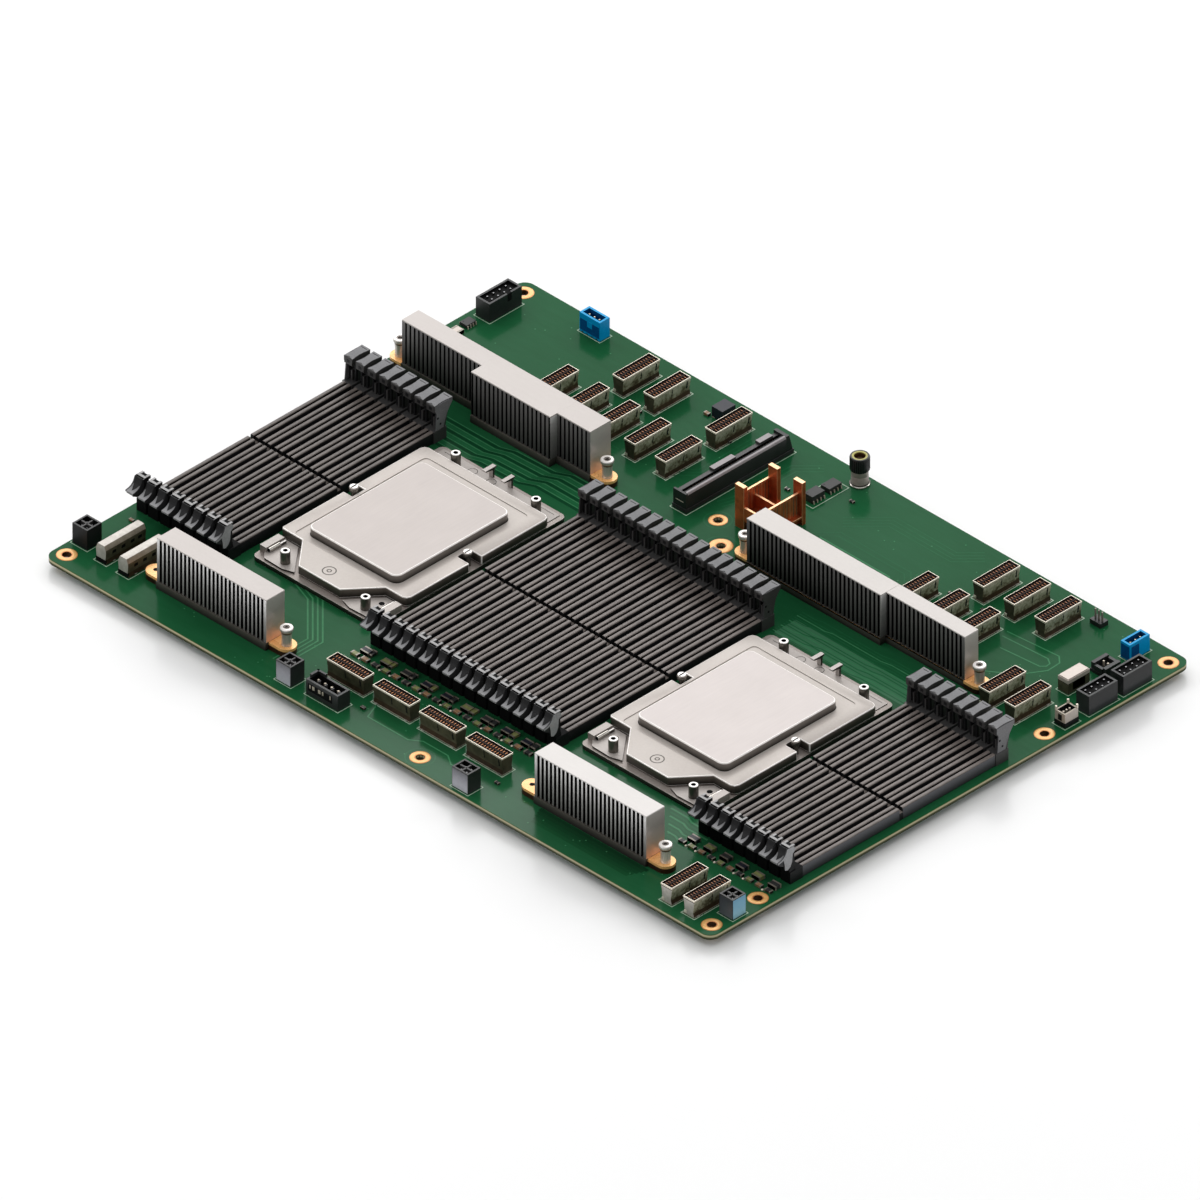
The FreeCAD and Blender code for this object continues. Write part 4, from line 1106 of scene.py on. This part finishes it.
def gullwing(form, x, y, wx, wy, h, legs=4):
    """Chip with bent legs at both sides and a dot in one corner."""
    form.at(x, y).slab(0, 0, wx - 1.4, wy, 0.4, h, "chip")
    leg = [(0, 1.6), (0.5, 1.6), (0.7, 0.35), (0.8, 0), (0.45, 0), (0.3, 1.2), (0, 1.2)]
    for side in (-1, 1):
        for k in range(legs):
            c = (k - (legs - 1) / 2) * wy * 0.855 / (legs - 1)
            form.prism([(side * (wx / 2 - 0.8 + a), z) for a, z in leg], "y", c - 0.32, c + 0.32, "tin")
    dot = [(0.5, h), (0.5, h + 0.02), (0, h + 0.02)]
    form.lathe(-wx / 2 + 1.8, -wy / 2 + 1.2, dot, "plastic_dark", 16)


form = Shape()
gullwing(form, 1.5, REAR - 19, 7, 8, 3)
gullwing(form, 1.5, REAR - 30, 7, 8, 4)
form.at(-74.5, REAR - 12.8).slab(0, 0, 7, 8.5, 0, 6, "navy")
for c in (-2.4, 2.4):
    form.slab(c, 0, 1.6, 8.8, 0, 0.6, "tin")
passive(form, -80.5, REAR - 17.5, 3, 1.8, 1.4, "tan")
form.at(RIGHT - 23, BANK_REAR + 82).slab(0, 0, 10, 11, 0, 1.6, "header")
for side in (-1, 1):
    form.slab(side * 3.8, 0, 2, 9.6, 1.5, 5, "header")
    form.slab(0, side * 4.4, 5.4, 1.6, 1.5, 4.2, "header")
    form.slab(side * 1.4, 0, 0.8, 0.8, 1.5, 4.6, "tin")
gullwing(form, LEFT + 7, REAR - 44, 6, 6, 2)
passive(form, LEFT + 8, REAR - 52, 5, 4, 2, "white_top")
for i in range(9):
    body = ("navy", "olive", "chip", "navy")[i % 4]
    passive(form, -56 + 13 * i, BANK_FRONT - 6.5, 5, 4, 2, body, False)
for i in range(6):
    body = ("navy", "olive", "chip")[i % 3]
    passive(form, SIDE_X - 26 + 10.4 * i, BANK_FRONT - 6.5, 5, 4, 2, body, False)
form.at(RIGHT - 51.5, REAR - 8.5).slab(0, 0, 7, 5, 0, 2.5, "header")
for c in (-2.2, 0, 2.2):
    form.slab(c, 0, 0.7, 0.7, 2.4, 7.6, "cap_metal")
place("chips_and_passives", form, ["board_chips"], "chip_plastic", 0.16)

# Small passives and solder dots strewn round the sockets
STREWN = [(-58, 130), (-61, 112), (-104, 118), (-124, 116), (100, 116), (120, 117), (184, 92), (199, 110)]
STREWN += [(200, 118), (201, 92), (-12, 122), (16, 136), (-56, -138), (-26, -139), (60, -138)]
STREWN += [(-207, -108), (-200, -110), (-150, -112)]
form = Shape()
for i in range(18):
    x = -60 + 6.6 * i
    if i % 2:
        passive(form, x, BANK_FRONT - 5.6, 2.8, 4.6, 1.4, "chip" if i % 4 == 1 else "olive", False)
    passive(form, x + 1.2, BANK_FRONT - 11.2, 4.4, 2.4, 1.4, ("olive", "tan", "chip")[i % 3])
for i in range(10):
    x = SIDE_X - 29 + 6.2 * i
    passive(form, x, BANK_FRONT - 11, 4, 2.2, 1.3, ("chip", "olive", "tan")[i % 3])
for x, y in STREWN:
    passive(form, x, y, 2.6, 1.5, 1.1, "tan" if x % 2 else "chip", y % 2 == 0)
dots = [-55.5 + 6.6 * i for i in (0, 2, 3, 6, 8, 9, 12, 14, 15)]
dots += [SIDE_X - 25.9 + 6.2 * i for i in (0, 1, 3, 5, 6, 8)]
for x in dots:
    form.at(x, BANK_FRONT - 12)
    form.lathe(0, 0, [(0, 0), (0.75, 0), (0.65, 0.3), (0.3, 0.55), (0, 0.6)], "rim", 12)
place("small_passives", form, slot="chip_plastic", bevel=0.12, steps=1)

outline(Shape(1.5, REAR - 24.5), 9, 22)
place("printed_outlines", make_mesh("printed_outlines", silk, flat=True), slot="solder_mask")

# Underside: backplates, screw ends and soldered tails
for side, x in CPUS:
    form = Shape(x, base=0)
    form.prism(soft_rect(0, BASE_Y, 76, 118, 6), "z", 0.5, UNDER, "under")
    form.prism(soft_rect(0, BASE_Y, 64, 92, 4), "z", 0, 0.6, "under")
    for px, py in POSTS:
        form.lathe(px, py, [(0, 0.1), (1, 0.1), (1.2, 0.3), (2.4, 0.3), (2.6, 0.6)], "chrome", 24)
    for c in (-16, 16):
        form.prism(soft_rect(c, BASE_Y, 3, 80, 1.4), "z", 0, 0.62, "base_dark")
    place("backplate_pressed_" + side, form, ["backplate_" + side], "backplate_steel", 0.3)

TAILS = 28
form = Shape(base=UNDER)


def tail(x, y, r):
    form.lathe(x, y, [(0, -0.8), (r * 0.5, -0.8), (r, -0.15), (r * 1.5, 0)], "solder", 7)


for _, centre, count in BANKS:
    for x in columns(centre, count):
        for k in range(TAILS):
            y = BANK_FRONT + 5 + k * (BANK_REAR - BANK_FRONT - 10) / (TAILS - 1)
            tail(x + (1.5 if k % 2 else -1.5), y, 0.42)
for spots in SLIMS.values():
    for x, y, along_y in spots:
        for a, b in [(a, b) for b in (-9.5, 9.5) for a in (-2.6, 2.6)]:
            tail(x + (a if along_y else b), y + (b if along_y else a), 0.6)
for x, y in screw_places:
    screw_end = [(0, -1.8), (1.4, -1.8), (1.6, -1.5), (1.6, -0.6), (3, -0.5), (3, 0)]
    form.lathe(x, y, screw_end, "chrome", 20)
place("underside_solder", form, slot="screw_steel")

# Camera at the photograph's angle, in metres and degrees
VIEW_TURN, VIEW_RISE, VIEW_WIDTH, VIEW_AWAY = 45, 35, 0.550, 1.6
VIEW_RIGHT, VIEW_UP = -0.00807, 0.00396
turn, rise = radians(VIEW_TURN), radians(VIEW_RISE)
back = Vector((sin(turn) * cos(rise), -cos(turn) * cos(rise), sin(rise)))
right = Vector((cos(turn), sin(turn), 0))
up = back.cross(right)
lens = bpy.data.cameras.new("camera")
lens.type = "ORTHO"
lens.ortho_scale = VIEW_WIDTH
lens.clip_end = 20
camera = bpy.data.objects.new("camera", lens)
camera.location = Vector((0, 0, TOP * MM)) + right * VIEW_RIGHT + up * VIEW_UP + back * VIEW_AWAY
camera.rotation_mode = "QUATERNION"
camera.rotation_quaternion = (-back).to_track_quat("-Z", "Y")
scene.collection.objects.link(camera)
scene.camera = camera

# Floor, soft light and view
FLOOR_DROP = 0.4
floor_mesh = bpy.data.meshes.new("floor")
floor_mesh.from_pydata([(*p, 0) for p in rectangle(12, 12)], [], [(0, 1, 2, 3)])
pale = surface("pale_floor", [(0.81, 0.81, 0.81, 1), (0.8, 0.8, 0.8, 1)], 0, 0.2, 3, 0.3)
floor_mesh.materials.append(pale)
floor = bpy.data.objects.new("floor", floor_mesh)
floor.location.z = -FLOOR_DROP * MM
scene.collection.objects.link(floor)


def softbox(name, spot, size, power):
    """Area light in metres and watts that points at the origin."""
    light = bpy.data.lights.new(name, "AREA")
    light.shape = "RECTANGLE"
    light.size, light.size_y = size
    light.energy = power
    lamp = bpy.data.objects.new(name, light)
    lamp.location = spot
    lamp.rotation_mode = "QUATERNION"
    lamp.rotation_quaternion = (-Vector(spot)).to_track_quat("-Z", "Y")
    scene.collection.objects.link(lamp)


softbox("overhead", (0.2, -0.2, 5), (6, 6), 84)
softbox("rear", (-2.6, 2.6, 2.7), (5, 3), 145)
softbox("side_left", (-3.2, -0.6, 2.2), (1.6, 1.6), 26)
softbox("side_rear", (0.6, 3.2, 2.2), (1.6, 1.6), 26)
softbox("front_left", (-0.6, -1.4, 0.7), (1.2, 0.7), 6)
softbox("front_right", (1.4, 0.6, 0.7), (1.2, 0.7), 4)

world = bpy.data.worlds.new("studio")
world.use_nodes = True
sky = world.node_tree.nodes["Background"]
sky.inputs["Color"].default_value = (1, 1, 1, 1)
sky.inputs["Strength"].default_value = 0.28
scene.world = world
scene.view_settings.view_transform = "Standard"
